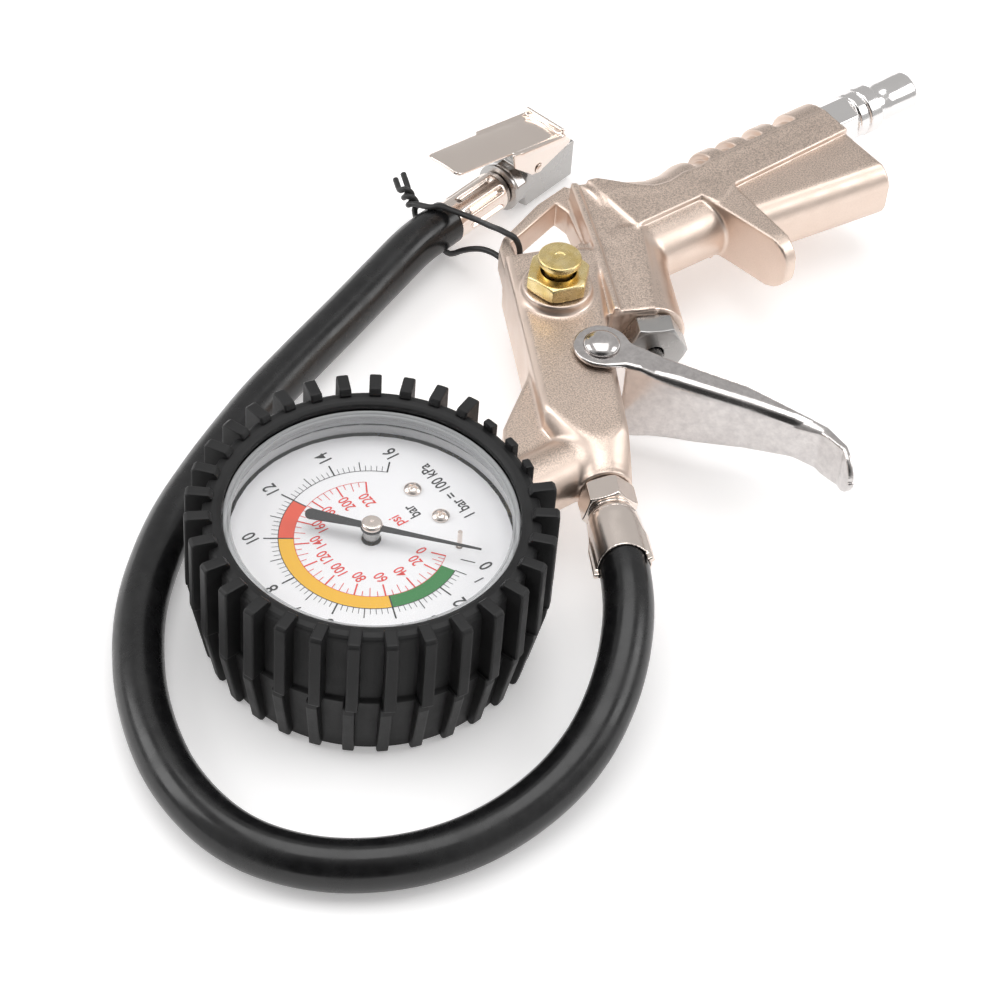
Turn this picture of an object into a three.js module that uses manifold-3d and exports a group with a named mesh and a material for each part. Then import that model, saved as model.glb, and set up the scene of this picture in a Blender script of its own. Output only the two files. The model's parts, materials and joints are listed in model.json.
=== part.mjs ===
// Hand-held tyre inflator: a pistol-type cast gun with a trigger valve, a bleed
// button, an 80 mm dial gauge in a ribbed rubber boot, and a short hose that
// ends in a clip-on tyre chuck.  Millimetres, +Z up.
//
// The gun lies on its side, so its plane of symmetry is level, at MID_Z.
// Gun frame: x along the grip towards the inlet, y towards the back of the
// grip, with the trigger rivet's axis at x = y = 0.
// Barrel frame: the gun frame turned by BARREL_TURN about Z; there u crosses
// the barrel, and v runs up the barrel, away from the hose.

import * as THREE from 'three';
import { mergeVertices } from 'three/addons/utils/BufferGeometryUtils.js';
import Module from 'manifold-3d';

const wasm = await Module();
wasm.setup();

// ---------------------------------------------------------------- dimensions
const MID_Z = 22;                    // height of the gun's and the stem's axis
const BODY_HALF = 11;                // half of the casting's thickness
const BARREL_TURN = THREE.MathUtils.degToRad(-26.9);
const GAP = 0.3;                     // between pieces that touch

// Where the gun frame's zero lies in the part's own frame.
const FRAME_SHIFT = [-9.2, 1.9, 0];

// Grip, neck and head of the casting, in the gun frame.
const GRIP = { front: 20.5, frontEnd: 14.5, start: 72, end: 120, step: 35, shoulder: 46, back: 57 };
const GROOVES = [[70.5, 77], [81.5, 87], [91, 97.3], [102.4, 110]];
const GROOVE_DEPTH = 3.4;
const NECK = { front: 25, start: 34, end: 70 };
const INLET = { y: 49, bore: 6.4, boreDepth: 13, passage: 3, turnX: 46 };

// Valve housing and barrel, in the barrel frame.
const VALVE = { u: 17.9, radius: 9.9, end: 16, top: 54, chamber: 6.4, chamberTop: 46 };
const BARREL = { left: -19.5, right: 4, top: 42, bottom: -36 };
const OUTLET = { u: -5.9, collar: 7.6, end: -42, bore: 6.3, boreDepth: 9 };
const AIRWAY = { u: -6.6, radius: 2.7 };

// Bleed valve, gauge stem and hanging loop, in the gun frame.
const BLEED = { x: 4, y: 25.5, boss: 9.8, bossTop: 36, bore: 6.1, floor: 26 };
const STEM = { y: -22.9, boss: 8.6, bore: 6.4, bossEnd: -48, boreEnd: -33 };
const LOOP_Z = [17.5, 26.5];

// Trigger, in the barrel frame with s = -v.
const RIVET = { shank: 2.5, head: 4.7, hole: 2.8 };
const TRIGGER = { eye: 7.8, half: 13.4, sheet: 1.4 };

// Gauge.
const DIAL = { x: -91.8, y: -22.9, plateTop: 33.5, plate: 36.4 };
const BOOT = {
  lipInner: 37.75, wall: 43.4, inner: 41, ribOuter: 47.4, ribFoot: 42.4, lipTop: 43.8,
  ribTop: 46.2, bend: 21, ribs: 32, stubs: 3, stubOuter: 43.9, ribWidth: 3.2, ribTurn: 18.4, lean: 2.7,
  notch: 11,
};
const CASE = { radius: 40.6, wall: 1.2, floor: 3.4, top: 36.2 };

// Hose and chuck, in the gun frame.
const HOSE = { radius: 6.7, sides: 10, steps: 44 };
const CHUCK = { x: 33.9, y: 91.5, turn: THREE.MathUtils.degToRad(12), axisZ: 8.6 };

// ------------------------------------------------------------------ materials
function finish(color, roughness, metalness, extra = {}) {
  return new THREE.MeshStandardMaterial({ color, roughness, metalness, ...extra });
}

const MATERIAL = {
  casting: finish(0xcdbba6, 0.42, 0.9),
  chrome: finish(0xd8dade, 0.12, 1.0),
  steel: finish(0xa9abad, 0.35, 1.0),
  nickel: finish(0xd9cfc4, 0.22, 1.0),
  brass: finish(0xc8a348, 0.25, 1.0),
  rubber: finish(0x1d1d1e, 0.6, 0.0),
  hose: finish(0x121213, 0.3, 0.0),
  dial: finish(0xf4f4f4, 0.5, 0.0),
  lens: finish(0xe8eef0, 0.05, 0.0, { transparent: true, opacity: 0.25 }),
  pointer: finish(0x0e0e0e, 0.4, 0.0),
  seal: finish(0x2a2a2a, 0.7, 0.0),
  tie: finish(0x1a1a1a, 0.5, 0.0),
};

// -------------------------------------------------------------------- helpers
function solidOf(geometry) {
  const plain = geometry.clone();
  plain.deleteAttribute('normal');
  plain.deleteAttribute('uv');
  const merged = mergeVertices(plain, 1e-4);
  return new wasm.Manifold(new wasm.Mesh({
    numProp: 3,
    vertProperties: new Float32Array(merged.attributes.position.array),
    triVerts: new Uint32Array(merged.index.array),
  }));
}

function geometryOf(solid) {
  const result = solid.getMesh();
  const geometry = new THREE.BufferGeometry();
  geometry.setAttribute('position', new THREE.BufferAttribute(result.vertProperties, 3));
  geometry.setIndex(new THREE.BufferAttribute(result.triVerts, 1));
  geometry.computeVertexNormals();
  return geometry;
}

function join(geometries) {
  return geometries.map(solidOf).reduce((whole, next) => whole.add(next));
}

function carve(solid, geometries) {
  return geometries.map(solidOf).reduce((whole, next) => whole.subtract(next), solid);
}

// A closed outline of [x, y] points pushed up from z0 to z1.
function prism(points, z0, z1, curveSegments = 12) {
  const shape = points instanceof THREE.Shape
    ? points
    : new THREE.Shape(points.map(([x, y]) => new THREE.Vector2(x, y)));
  const geometry = new THREE.ExtrudeGeometry(shape, {
    depth: z1 - z0, bevelEnabled: false, curveSegments,
  });
  return geometry.translate(0, 0, z0);
}

// A round bar between two points.
function bar(from, to, radius, sides = 24, endRadius = radius) {
  const a = new THREE.Vector3(...from);
  const b = new THREE.Vector3(...to);
  const geometry = new THREE.CylinderGeometry(endRadius, radius, a.distanceTo(b), sides);
  const up = new THREE.Vector3(0, 1, 0);
  const along = b.clone().sub(a).normalize();
  geometry.applyQuaternion(new THREE.Quaternion().setFromUnitVectors(up, along));
  return geometry.translate((a.x + b.x) / 2, (a.y + b.y) / 2, (a.z + b.z) / 2);
}

function box(x, y, z) {
  const geometry = new THREE.BoxGeometry(x[1] - x[0], y[1] - y[0], z[1] - z[0]);
  return geometry.translate((x[0] + x[1]) / 2, (y[0] + y[1]) / 2, (z[0] + z[1]) / 2);
}

// A lathe about +Z from [radius, z] points listed bottom to top.
function turned(profile, sides = 48) {
  const points = profile.map(([r, z]) => new THREE.Vector2(r, z));
  return new THREE.LatheGeometry(points, sides).rotateX(Math.PI / 2);
}

// A ring about +Z with a rectangular section.
function ring(inner, outer, z0, z1, sides = 48) {
  return turned([[inner, z0], [outer, z0], [outer, z1], [inner, z1], [inner, z0]], sides);
}

// Lay a part that was turned about +Z along a level direction.
function layAlong(geometry, angle, x, y, z = MID_Z) {
  return geometry.rotateY(Math.PI / 2).rotateZ(angle).translate(x, y, z);
}

// A section whose corners are given as [across, up], swept along x.
function bridge(section, x0, x1) {
  const shape = new THREE.Shape(section.map(([y, z]) => new THREE.Vector2(y, z)));
  const geometry = new THREE.ExtrudeGeometry(shape, { depth: x1 - x0, bevelEnabled: false });
  // The section's first axis becomes y, its second z, and the depth x.
  geometry.applyMatrix4(new THREE.Matrix4().set(
    0, 0, 1, x0,
    1, 0, 0, 0,
    0, 1, 0, 0,
    0, 0, 0, 1,
  ));
  return geometry;
}

// A level bar's section: flat above and below, rounded towards roundY.
function roundedSection(flatY, shoulderY, roundY, half, steps = 8) {
  const reach = roundY - shoulderY;
  const points = [[flatY, MID_Z - half]];
  for (let i = 0; i <= steps; i += 1) {
    const turn = -Math.PI / 2 + (Math.PI * i) / steps;
    points.push([shoulderY + reach * Math.cos(turn), MID_Z + half * Math.sin(turn)]);
  }
  points.push([flatY, MID_Z + half]);
  return points;
}

const toBarrel = (geometry) => geometry.rotateZ(BARREL_TURN);

function barrelPoint(u, v, z = MID_Z) {
  const c = Math.cos(BARREL_TURN);
  const s = Math.sin(BARREL_TURN);
  return [u * c - v * s, u * s + v * c, z];
}

// A helical wire about +Z.
class Helix extends THREE.Curve {
  constructor(radius, z0, z1, turns) {
    super();
    Object.assign(this, { radius, z0, z1, turns });
  }

  getPoint(t, target = new THREE.Vector3()) {
    const a = 2 * Math.PI * this.turns * t;
    const z = this.z0 + (this.z1 - this.z0) * t;
    return target.set(this.radius * Math.cos(a), this.radius * Math.sin(a), z);
  }
}

function roundShape(radius, sides) {
  const points = [];
  for (let i = 0; i < sides; i += 1) {
    const a = (2 * Math.PI * i) / sides;
    points.push(new THREE.Vector2(radius * Math.cos(a), radius * Math.sin(a)));
  }
  return new THREE.Shape(points);
}

function wire(curve, radius, sides, steps) {
  return new THREE.ExtrudeGeometry(roundShape(radius, sides), {
    steps, extrudePath: curve, bevelEnabled: false,
  });
}

// ---------------------------------------------------------------- the object
const group = new THREE.Group();
const gun = new THREE.Group();
gun.position.set(...FRAME_SHIFT);
group.add(gun);

function place(name, geometry, material, parent = gun) {
  const mesh = new THREE.Mesh(geometry, material);
  mesh.name = name;
  parent.add(mesh);
  return mesh;
}

// ------------------------------------------------------------------- casting
function gripSolids() {
  const backSection = roundedSection(GRIP.step - 2, GRIP.shoulder, GRIP.back, BODY_HALF);
  const grooveSection = roundedSection(
    GRIP.step - 2, GRIP.shoulder - 0.5, GRIP.back - GROOVE_DEPTH, BODY_HALF - GROOVE_DEPTH + 0.6,
  );
  let back = solidOf(bridge(backSection, 38, GRIP.end));
  for (const [x0, x1] of GROOVES) {
    back = back.subtract(solidOf(box([x0, x1], [GRIP.step + 11, GRIP.back + 5], [0, 2 * MID_Z])));
    back = back.add(solidOf(bridge(grooveSection, x0 - 0.5, x1 + 0.5)));
  }
  const slope = Math.atan2(GRIP.frontEnd - GRIP.front, GRIP.end - GRIP.start);
  const frontSection = roundedSection(24, 5.5, 0, BODY_HALF - 1.5);
  const front = bridge(frontSection, 0, GRIP.end - GRIP.start)
    .rotateZ(slope).translate(GRIP.start, GRIP.front, 0);
  const neck = bridge(roundedSection(40, 33, NECK.front, BODY_HALF - 1.5), NECK.start, NECK.end);
  const squareEnd = box([GRIP.end, GRIP.end + 20], [0, 80], [0, 2 * MID_Z]);
  return back.add(solidOf(front)).add(solidOf(neck)).subtract(solidOf(squareEnd));
}

function hornAndHead() {
  const horn = prism([
    [62, 40], [64.2, 34.8], [65.9, 26], [67.2, 18], [70, 8.5], [71.4, 3.6], [73, 3], [74, 6],
    [74.5, 18], [75.4, 32], [75.6, 40],
  ], MID_Z - 8.5, MID_Z + BODY_HALF);
  const head = prism([
    [28, 46], [40, 30], [62, 34.8], [70, 35], [70, 46], [64, 47.6], [58, 46.4], [54, 47],
    [49, 50], [46, 54], [43, 57.4], [40, 59], [31, 57],
  ], MID_Z - BODY_HALF, MID_Z + BODY_HALF);
  const brow = prism([
    [34, 50], [45, 48], [55, 49.5], [51.5, 55], [48, 59.5], [43, 63.5], [38, 65], [32, 62],
  ], MID_Z - 7, MID_Z + 7);
  return join([horn, head, brow]);
}

function barrelSolids() {
  const shank = toBarrel(prism([
    [BARREL.left, BARREL.top], [BARREL.left, -22], [-14, BARREL.bottom],
    [OUTLET.u + OUTLET.collar, BARREL.bottom], [2.4, -28], [BARREL.right, 6], [6, 30], [14, 46],
    [-2, 44],
  ], MID_Z - BODY_HALF, MID_Z + BODY_HALF));
  const collar = bar(
    barrelPoint(OUTLET.u, BARREL.bottom + 4), barrelPoint(OUTLET.u, OUTLET.end), OUTLET.collar,
  );
  const housingSection = roundedSection(6, VALVE.u - 1.5, VALVE.u + VALVE.radius, BODY_HALF - 0.6);
  const housing = toBarrel(
    bridge(housingSection, -VALVE.top, -VALVE.end).rotateZ(-Math.PI / 2),
  );
  // The barrel narrows to its collar in a cone, and a lower web joins it to the housing.
  const taper = bar(
    barrelPoint(OUTLET.u, -26), barrelPoint(OUTLET.u, OUTLET.end + 2), BODY_HALF - 0.5, 32,
    OUTLET.collar + 0.1,
  );
  const web = toBarrel(
    prism([[2, VALVE.end], [11, VALVE.end], [11, 46], [2, 46]], MID_Z - 9, MID_Z + 9),
  );
  return join([shank, collar, taper, web]).add(solidOf(housing));
}

function bossSolids() {
  const gaugeBoss = bar([STEM.bossEnd, STEM.y, MID_Z], [-18, STEM.y, MID_Z], STEM.boss);
  const gusset = prism([[-13, 12], [-36, -4.5], [-44, -16], [-20, -16]], MID_Z - 5, MID_Z + 5);
  const bleedBoss = bar([BLEED.x, BLEED.y, MID_Z], [BLEED.x, BLEED.y, BLEED.bossTop], BLEED.boss);
  return join([gaugeBoss, gusset, bleedBoss]);
}

function hangingLoop() {
  return prism([
    [-1, 44], [1.2, 50], [4.5, 55.2], [10, 58.8], [26.5, 63.8], [38, 66.5], [44, 58], [34, 40],
    [14, 38],
  ], LOOP_Z[0], LOOP_Z[1]);
}

// The loop's window, clear through the casting.
function loopWindow() {
  return prism([
    [7.6, 46.6], [10, 53.6], [30.4, 59.4], [31, 56], [27.2, 44], [22, 42.6],
  ], LOOP_Z[0] - 1, LOOP_Z[1] + 1);
}

function airways() {
  const chamberTop = barrelPoint(VALVE.u, VALVE.chamberTop);
  return [
    bar([GRIP.end - INLET.boreDepth, INLET.y, MID_Z], [GRIP.end + 5, INLET.y, MID_Z], INLET.bore),
    bar([INLET.turnX, INLET.y, MID_Z], [GRIP.end, INLET.y, MID_Z], INLET.passage, 12),
    bar([INLET.turnX + 3, INLET.y + 1, MID_Z], chamberTop, INLET.passage - 0.4, 12),
    bar(barrelPoint(VALVE.u, VALVE.end - 5), chamberTop, VALVE.chamber),
    bar(barrelPoint(AIRWAY.u, 30), barrelPoint(VALVE.u, 30), 2.2, 12),
    bar(barrelPoint(AIRWAY.u, OUTLET.end), barrelPoint(AIRWAY.u, 33), AIRWAY.radius, 12),
    bar(barrelPoint(OUTLET.u, OUTLET.end - 5),
      barrelPoint(OUTLET.u, OUTLET.end + OUTLET.boreDepth), OUTLET.bore),
    bar([STEM.bossEnd - 5, STEM.y, MID_Z], [STEM.boreEnd, STEM.y, MID_Z], STEM.bore),
    bar([STEM.boreEnd - 2, STEM.y, MID_Z], [-17, STEM.y, MID_Z], 2.2, 12),
    bar([BLEED.x, BLEED.y, BLEED.floor], [BLEED.x, BLEED.y, 50], BLEED.bore),
    bar([BLEED.x, BLEED.y, MID_Z], [BLEED.x, BLEED.y, BLEED.floor + 1], 1.8, 12),
    bar([0, 0, 0], [0, 0, 50], RIVET.hole),
  ];
}

function gunBody() {
  const cast = gripSolids().add(hornAndHead()).add(barrelSolids()).add(bossSolids());
  const whole = cast.add(solidOf(hangingLoop()));
  return geometryOf(carve(whole, [loopWindow(), ...airways()]));
}
place('gun_body', gunBody(), MATERIAL.casting);

// ------------------------------------------------------------ inlet and valve
function inletPlug() {
  const body = INLET.bore - GAP;
  const profile = [
    [0, -11], [body, -11], [body, 0.4], [7.4, 0.4], [7.4, 12.8], [6.5, 13.4], [7, 14], [7, 17],
    [7.4, 17.6], [7.4, 22.2], [5.6, 22.8], [5.6, 24.6], [6, 27], [6.25, 34], [6.25, 36.8], [5.7, 37.5],
    [2.6, 37.5], [2.6, -6], [0, -6],
  ];
  return layAlong(turned(profile, 16), 0, GRIP.end, INLET.y);
}
place('inlet_plug', inletPlug(), MATERIAL.chrome);

// Pieces on the valve's axis are turned about +Z and laid along -v.
const DOWN_BARREL = BARREL_TURN - Math.PI / 2;

function onValveAxis(geometry, v) {
  const [x, y] = barrelPoint(VALVE.u, v);
  return layAlong(geometry, DOWN_BARREL, x, y);
}

function glandNut() {
  const thread = bar([0, 0, -8], [0, 0, 1], VALVE.chamber - GAP);
  const hexagon = bar([0, 0, GAP], [0, 0, 7.5], 9.6, 6);
  const body = join([thread, hexagon]);
  const bore = bar([0, 0, -10], [0, 0, 9], 2.5, 16);
  const pocket = bar([0, 0, -9], [0, 0, -4], 4.2, 16);
  return onValveAxis(geometryOf(carve(body, [bore, pocket])), VALVE.end);
}
place('valve_gland_nut', glandNut(), MATERIAL.steel);

// Distances from the housing's end face, positive towards the trigger.
function valveStem() {
  const profile = [
    [0, -20], [1.4, -20], [1.4, -15.5], [5.2, -15.5], [5.2, -13], [3, -12.3], [2.1, -10.6], [2.1, 27],
    [1.2, 28.2], [0, 28.2],
  ];
  return onValveAxis(turned(profile, 20), VALVE.end);
}
place('valve_stem', valveStem(), MATERIAL.steel);
place('valve_stem_seal', onValveAxis(ring(2.45, 3.9, -7.4, -4.4, 20), VALVE.end), MATERIAL.seal);
place('valve_seat_ring', onValveAxis(ring(3.2, 6.1, -12, -8.6, 20), VALVE.end), MATERIAL.seal);
// The spring stands clear of the poppet's stroke, at its compressed length.
place('valve_spring', onValveAxis(
  wire(new Helix(3.6, -20.6, -28.8, 4), 0.5, 5, 32), VALVE.end,
), MATERIAL.steel);

// ------------------------------------------------------------------- trigger
// The pressed channel's side profile, [u, s] with s = -v.
const TRIGGER_OPEN_EDGE = [
  [7.4, 0], [13, 2.4], [17, 5.2], [26, 10], [38, 15.8], [45, 21.2], [51, 26], [57, 31.4],
  [60.6, 38.4], [61.2, 47],
];
const TRIGGER_WEB = [
  [59.6, 47.2], [59, 39.8], [54.6, 33.2], [48, 28.7], [37, 23], [24, 17.5], [13, 12.3], [5.2, 8.6],
];
const TRIGGER_INSIDE = [
  [54, 30.4], [48.8, 27.3], [37.6, 21.5], [24.6, 16], [13.6, 10.8], [5.4, 7.3],
];

function flip(points) {
  return points.map(([u, s]) => [u, -s]);
}

function triggerWedge(shrink) {
  // Half-width against u: widest at the eye, narrow at the tip.
  const edge = [
    [-12, TRIGGER.half], [9, TRIGGER.half], [13, 12.3], [25, 11], [38, 9.2], [49, 7.8], [62, 6.8],
  ];
  const upper = edge.map(([u, w]) => [u, w - shrink]);
  const lower = edge.map(([u, w]) => [u, shrink - w]).reverse();
  // The outline is drawn in u and z, and pushed along v.
  return prism([...upper, ...lower], -80, 80).rotateX(Math.PI / 2).translate(0, 0, MID_Z);
}

function triggerLever() {
  const sideOutline = [...TRIGGER_OPEN_EDGE, ...TRIGGER_WEB];
  const eye = bar([0, 0, 0], [0, 0, 2 * MID_Z], TRIGGER.eye, 32);
  const arm = prism(flip([[0, -TRIGGER.eye + 1], ...sideOutline, [0, TRIGGER.eye - 0.6]]), 0, 44);
  const outer = join([eye, arm]).intersect(solidOf(triggerWedge(0)));
  const hollow = prism(flip([
    [-20, -20], [60, -20], [60, 20], ...TRIGGER_INSIDE, [4.6, 30], [-20, 30],
  ]), -5, 50);
  const lever = outer.subtract(solidOf(hollow).intersect(solidOf(triggerWedge(TRIGGER.sheet))));
  return toBarrel(geometryOf(carve(lever, [bar([0, 0, -5], [0, 0, 50], RIVET.hole)])));
}
place('trigger_lever', triggerLever(), MATERIAL.chrome);

function triggerRivet() {
  const reach = TRIGGER.half + GAP;
  const dome = [
    [RIVET.shank, MID_Z + reach], [RIVET.head, MID_Z + reach], [RIVET.head - 1.2, MID_Z + reach + 1.4],
    [RIVET.head - 2.8, MID_Z + reach + 2], [0, MID_Z + reach + 2.2],
  ];
  const foot = dome.map(([r, z]) => [r, 2 * MID_Z - z]).reverse();
  return turned([...foot, ...dome], 16);
}
place('trigger_rivet', triggerRivet(), MATERIAL.chrome);

// --------------------------------------------------------------- bleed valve
function bleedPlace(geometry) {
  return geometry.translate(BLEED.x, BLEED.y, 0);
}

function bleedNut() {
  const hexagon = bar([0, 0, BLEED.bossTop + GAP], [0, 0, 41.4], 9.3, 6);
  const thread = bar([0, 0, 30], [0, 0, BLEED.bossTop + 1], BLEED.bore - GAP);
  const body = join([hexagon, thread]);
  // A shelf between the two bores keeps the button in and carries its spring.
  return bleedPlace(geometryOf(carve(body, [
    bar([0, 0, 28], [0, 0, 32.3], 4.9),
    bar([0, 0, 32], [0, 0, 34], 2.6, 16),
    bar([0, 0, 33.1], [0, 0, 45], 4.9),
  ])));
}
place('bleed_nut', bleedNut(), MATERIAL.brass);

function bleedButton() {
  const profile = [
    [0, 26.9], [1, 26.9], [1, 29.5], [4.2, 29.5], [4.2, 32], [2.2, 32], [2.2, 38.4], [4.4, 38.4],
    [4.4, 44.4], [6, 44.6], [6, 46.1], [5.7, 46.4], [0, 46.4],
  ];
  return bleedPlace(turned(profile, 18));
}
place('bleed_button', bleedButton(), MATERIAL.brass);
place('bleed_spring', bleedPlace(
  wire(new Helix(3.2, 33.7, 37.7, 2), 0.3, 5, 28),
), MATERIAL.steel);
place('bleed_seal', bleedPlace(ring(1.4, 4.2, 26.3, 27.1, 20)), MATERIAL.seal);

// --------------------------------------------------------------------- gauge
const gauge = new THREE.Group();
gauge.position.set(DIAL.x, DIAL.y, 0);
gun.add(gauge);

// The ribs stand a little wider apart beside the stem.
function ribAngle(i) {
  const around = (2 * Math.PI * i) / BOOT.ribs;
  return THREE.MathUtils.degToRad(BOOT.ribTurn + BOOT.lean * Math.cos(around)) + around;
}

function bootSolid() {
  const wall = turned([
    [0, 0], [41.6, 0], [BOOT.wall, BOOT.bend], [BOOT.wall, BOOT.lipTop], [BOOT.lipInner, BOOT.lipTop],
    [BOOT.lipInner, 42.2], [BOOT.inner, 42.2], [BOOT.inner, 3], [0, 3],
  ], BOOT.ribs);
  // One rib: a fin whose edge is upright above the bend and leans in below it.
  const half = BOOT.ribWidth / 2;
  const outline = [
    [41.2, 0.6], [BOOT.ribFoot, 0], [BOOT.ribOuter, BOOT.bend + 1], [BOOT.ribOuter, BOOT.ribTop - 1],
    [BOOT.ribOuter - 1, BOOT.ribTop], [41.6, BOOT.ribTop], [41.6, BOOT.bend],
  ];
  // Over the stem a rib is only a stub on the lip.
  const stub = [
    [41.6, 37], [BOOT.stubOuter, 38], [BOOT.stubOuter, BOOT.ribTop - 0.6],
    [BOOT.stubOuter - 0.6, BOOT.ribTop], [41.6, BOOT.ribTop],
  ];
  let solid = solidOf(wall);
  for (let i = 0; i < BOOT.ribs; i += 1) {
    const shape = i >= BOOT.ribs - BOOT.stubs ? stub : outline;
    const fin = prism(shape, -half, half).rotateX(Math.PI / 2);
    fin.rotateZ(ribAngle(i));
    solid = solid.add(solidOf(fin));
  }
  const inside = turned([
    [0, 3], [BOOT.inner, 3], [BOOT.inner, 42.2], [0, 42.2],
  ], BOOT.ribs);
  const stemNotch = box([30, 60], [-BOOT.notch, BOOT.notch], [MID_Z - 10, MID_Z + 13.5]);
  return geometryOf(carve(solid, [inside, stemNotch]));
}
place('gauge_boot', bootSolid(), MATERIAL.rubber, gauge);

function gaugeCase() {
  const { radius, wall, floor, top } = CASE;
  const cup = solidOf(turned([
    [0, floor], [radius, floor], [radius, top], [radius - wall, top], [radius - wall, floor + wall],
    [0, floor + wall],
  ], 40));
  const stemHole = bar([30, 0, MID_Z], [50, 0, MID_Z], 8.2, 20);
  return geometryOf(carve(cup, [stemHole]));
}
place('gauge_case', gaugeCase(), MATERIAL.steel, gauge);
place('lens_gasket', ring(37.6, 40.2, CASE.top + GAP, CASE.top + 1.3, 36), MATERIAL.seal, gauge);
place('gauge_lens', turned([
  [0, 40.3], [36.6, 40.3], [36.6, 37.9], [40.4, 37.9], [40.4, 41.9], [37.4, 41.9], [37.2, 41.6],
  [0, 41.6],
], 44), MATERIAL.lens, gauge);

const SCREWS = [[18.6, 8.1], [19.3, -3.5]];
const STOP_ANGLE = THREE.MathUtils.degToRad(-40);
const STOP = [22.5 * Math.cos(STOP_ANGLE), 22.5 * Math.sin(STOP_ANGLE)];

function dialPlate() {
  const disc = solidOf(bar([0, 0, 32.7], [0, 0, DIAL.plateTop], DIAL.plate, 40));
  const holes = SCREWS.map(([x, y]) => bar([x, y, 30], [x, y, 40], 1.5, 12));
  holes.push(bar([0, 0, 30], [0, 0, 40], 2.6, 16));
  holes.push(bar([...STOP, 30], [...STOP, 40], 0.95, 10));
  return geometryOf(carve(disc, holes));
}
place('dial_plate', dialPlate(), MATERIAL.dial, gauge);

SCREWS.forEach(([x, y], i) => {
  const screw = turned([
    [0, 27.9], [1.2, 27.9], [1.2, 33.8], [2.3, 33.8], [2.1, 34.6], [1.2, 35.1], [0, 35.2],
  ], 16).translate(x, y, 0);
  place(`dial_screw_${i + 1}`, screw, MATERIAL.nickel, gauge);
});
place('pointer_stop_pin', bar([...STOP, 31], [...STOP, 39], 0.65, 10), MATERIAL.nickel, gauge);

// The pointer rests at the scale's zero and sweeps clockwise to its end.
const ZERO = THREE.MathUtils.degToRad(-49);
const POINTER_SWEEP = 265;

function pointerBlade() {
  const shape = new THREE.Shape();
  shape.moveTo(-16, -1.4);
  shape.lineTo(-2, -1);
  shape.lineTo(3, -0.9);
  shape.lineTo(28.6, -0.2);
  shape.lineTo(28.6, 0.2);
  shape.lineTo(3, 0.9);
  shape.lineTo(-2, 1);
  shape.lineTo(-16, 1.4);
  shape.absarc(-16.4, 0, 1.5, Math.PI / 2, (3 * Math.PI) / 2, false);
  const blade = join([prism(shape, 37.8, 38.3, 6), bar([0, 0, 37.8], [0, 0, 38.3], 2.4, 20)]);
  return geometryOf(carve(blade, [bar([0, 0, 30], [0, 0, 40], 1.5, 16)])).rotateZ(ZERO);
}
place('pointer', pointerBlade(), MATERIAL.pointer, gauge);
place('pointer_hub', turned([
  [1.2, 34.6], [2.3, 34.6], [2.3, 37.5], [1.2, 37.5], [1.2, 34.6],
], 20), MATERIAL.nickel, gauge);
place('pointer_cap', turned([
  [0, 38.6], [2.8, 38.6], [2.8, 39.4], [2.4, 39.8], [0, 39.8],
], 24), MATERIAL.nickel, gauge);

// ---------------------------------------------------------- gauge's movement
const PINION = { teeth: 8, pitch: 2, z0: 18, z1: 21 };
const SECTOR = { pitch: 16, span: 52 };
const SECTOR_DIRECTION = THREE.MathUtils.degToRad(-120);   // from the arbor to its pivot
const CENTRES = PINION.pitch + SECTOR.pitch;
const SECTOR_PIVOT = [CENTRES * Math.cos(SECTOR_DIRECTION), CENTRES * Math.sin(SECTOR_DIRECTION)];

// Pointed teeth on a pitch circle, from angle a0 on, count of them.
function toothed(pitch, count, a0, step, root, tip, fill) {
  const points = [];
  for (let i = 0; i < count; i += 1) {
    const a = a0 + i * step;
    for (const [part, r] of [[-0.36, root], [-0.1, tip], [0.1, tip], [0.36, root]]) {
      points.push([r * Math.cos(a + part * step), r * Math.sin(a + part * step)]);
    }
  }
  return fill ? [[0, 0], ...points] : points;
}

function pinionArbor() {
  const step = (2 * Math.PI) / PINION.teeth;
  // A tooth looks along the line to the sector's pivot.
  const teeth = toothed(PINION.pitch, PINION.teeth, SECTOR_DIRECTION, step, 1.45, 2.45, false);
  const shaft = bar([0, 0, 12.4], [0, 0, 38.2], 0.9, 12);
  return geometryOf(join([prism(teeth, PINION.z0, PINION.z1), shaft]));
}
place('pinion_arbor', pinionArbor(), MATERIAL.brass, gauge);

const SECTOR_SWEEP = POINTER_SWEEP / (SECTOR.pitch / PINION.pitch);

function sectorGear() {
  const step = (2 * Math.PI) / (PINION.teeth * (SECTOR.pitch / PINION.pitch));
  const towards = SECTOR_DIRECTION + Math.PI;
  // A gap faces the pinion's tooth at rest; the sector then turns by its sweep.
  const first = towards - step * (Math.round(THREE.MathUtils.degToRad(SECTOR_SWEEP) / step) + 1.5);
  const count = Math.round(THREE.MathUtils.degToRad(SECTOR.span) / step);
  const rim = toothed(SECTOR.pitch, count, first, step, 15.35, 16.35, true);
  const plate = solidOf(prism(rim, PINION.z0 + 0.3, PINION.z1 - 0.3));
  const arm = bar([0, 0, PINION.z0 + 0.3], [0, 0, PINION.z1 - 0.3], 2.6, 16);
  const tail = first - 0.9;
  const tailBar = prism([
    [-1.2, -1.2], [8, -1.2], [8, 1.2], [-1.2, 1.2],
  ], PINION.z0 + 0.3, PINION.z1 - 0.3).rotateZ(tail + Math.PI);
  const shaft = bar([0, 0, 12.4], [0, 0, 25.4], 0.9, 12);
  const whole = plate.add(join([arm, tailBar, shaft]));
  return geometryOf(whole).translate(...SECTOR_PIVOT, 0);
}
place('sector_gear', sectorGear(), MATERIAL.brass, gauge);

const PILLARS = [[9, 14], [-20, 2]];

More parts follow.
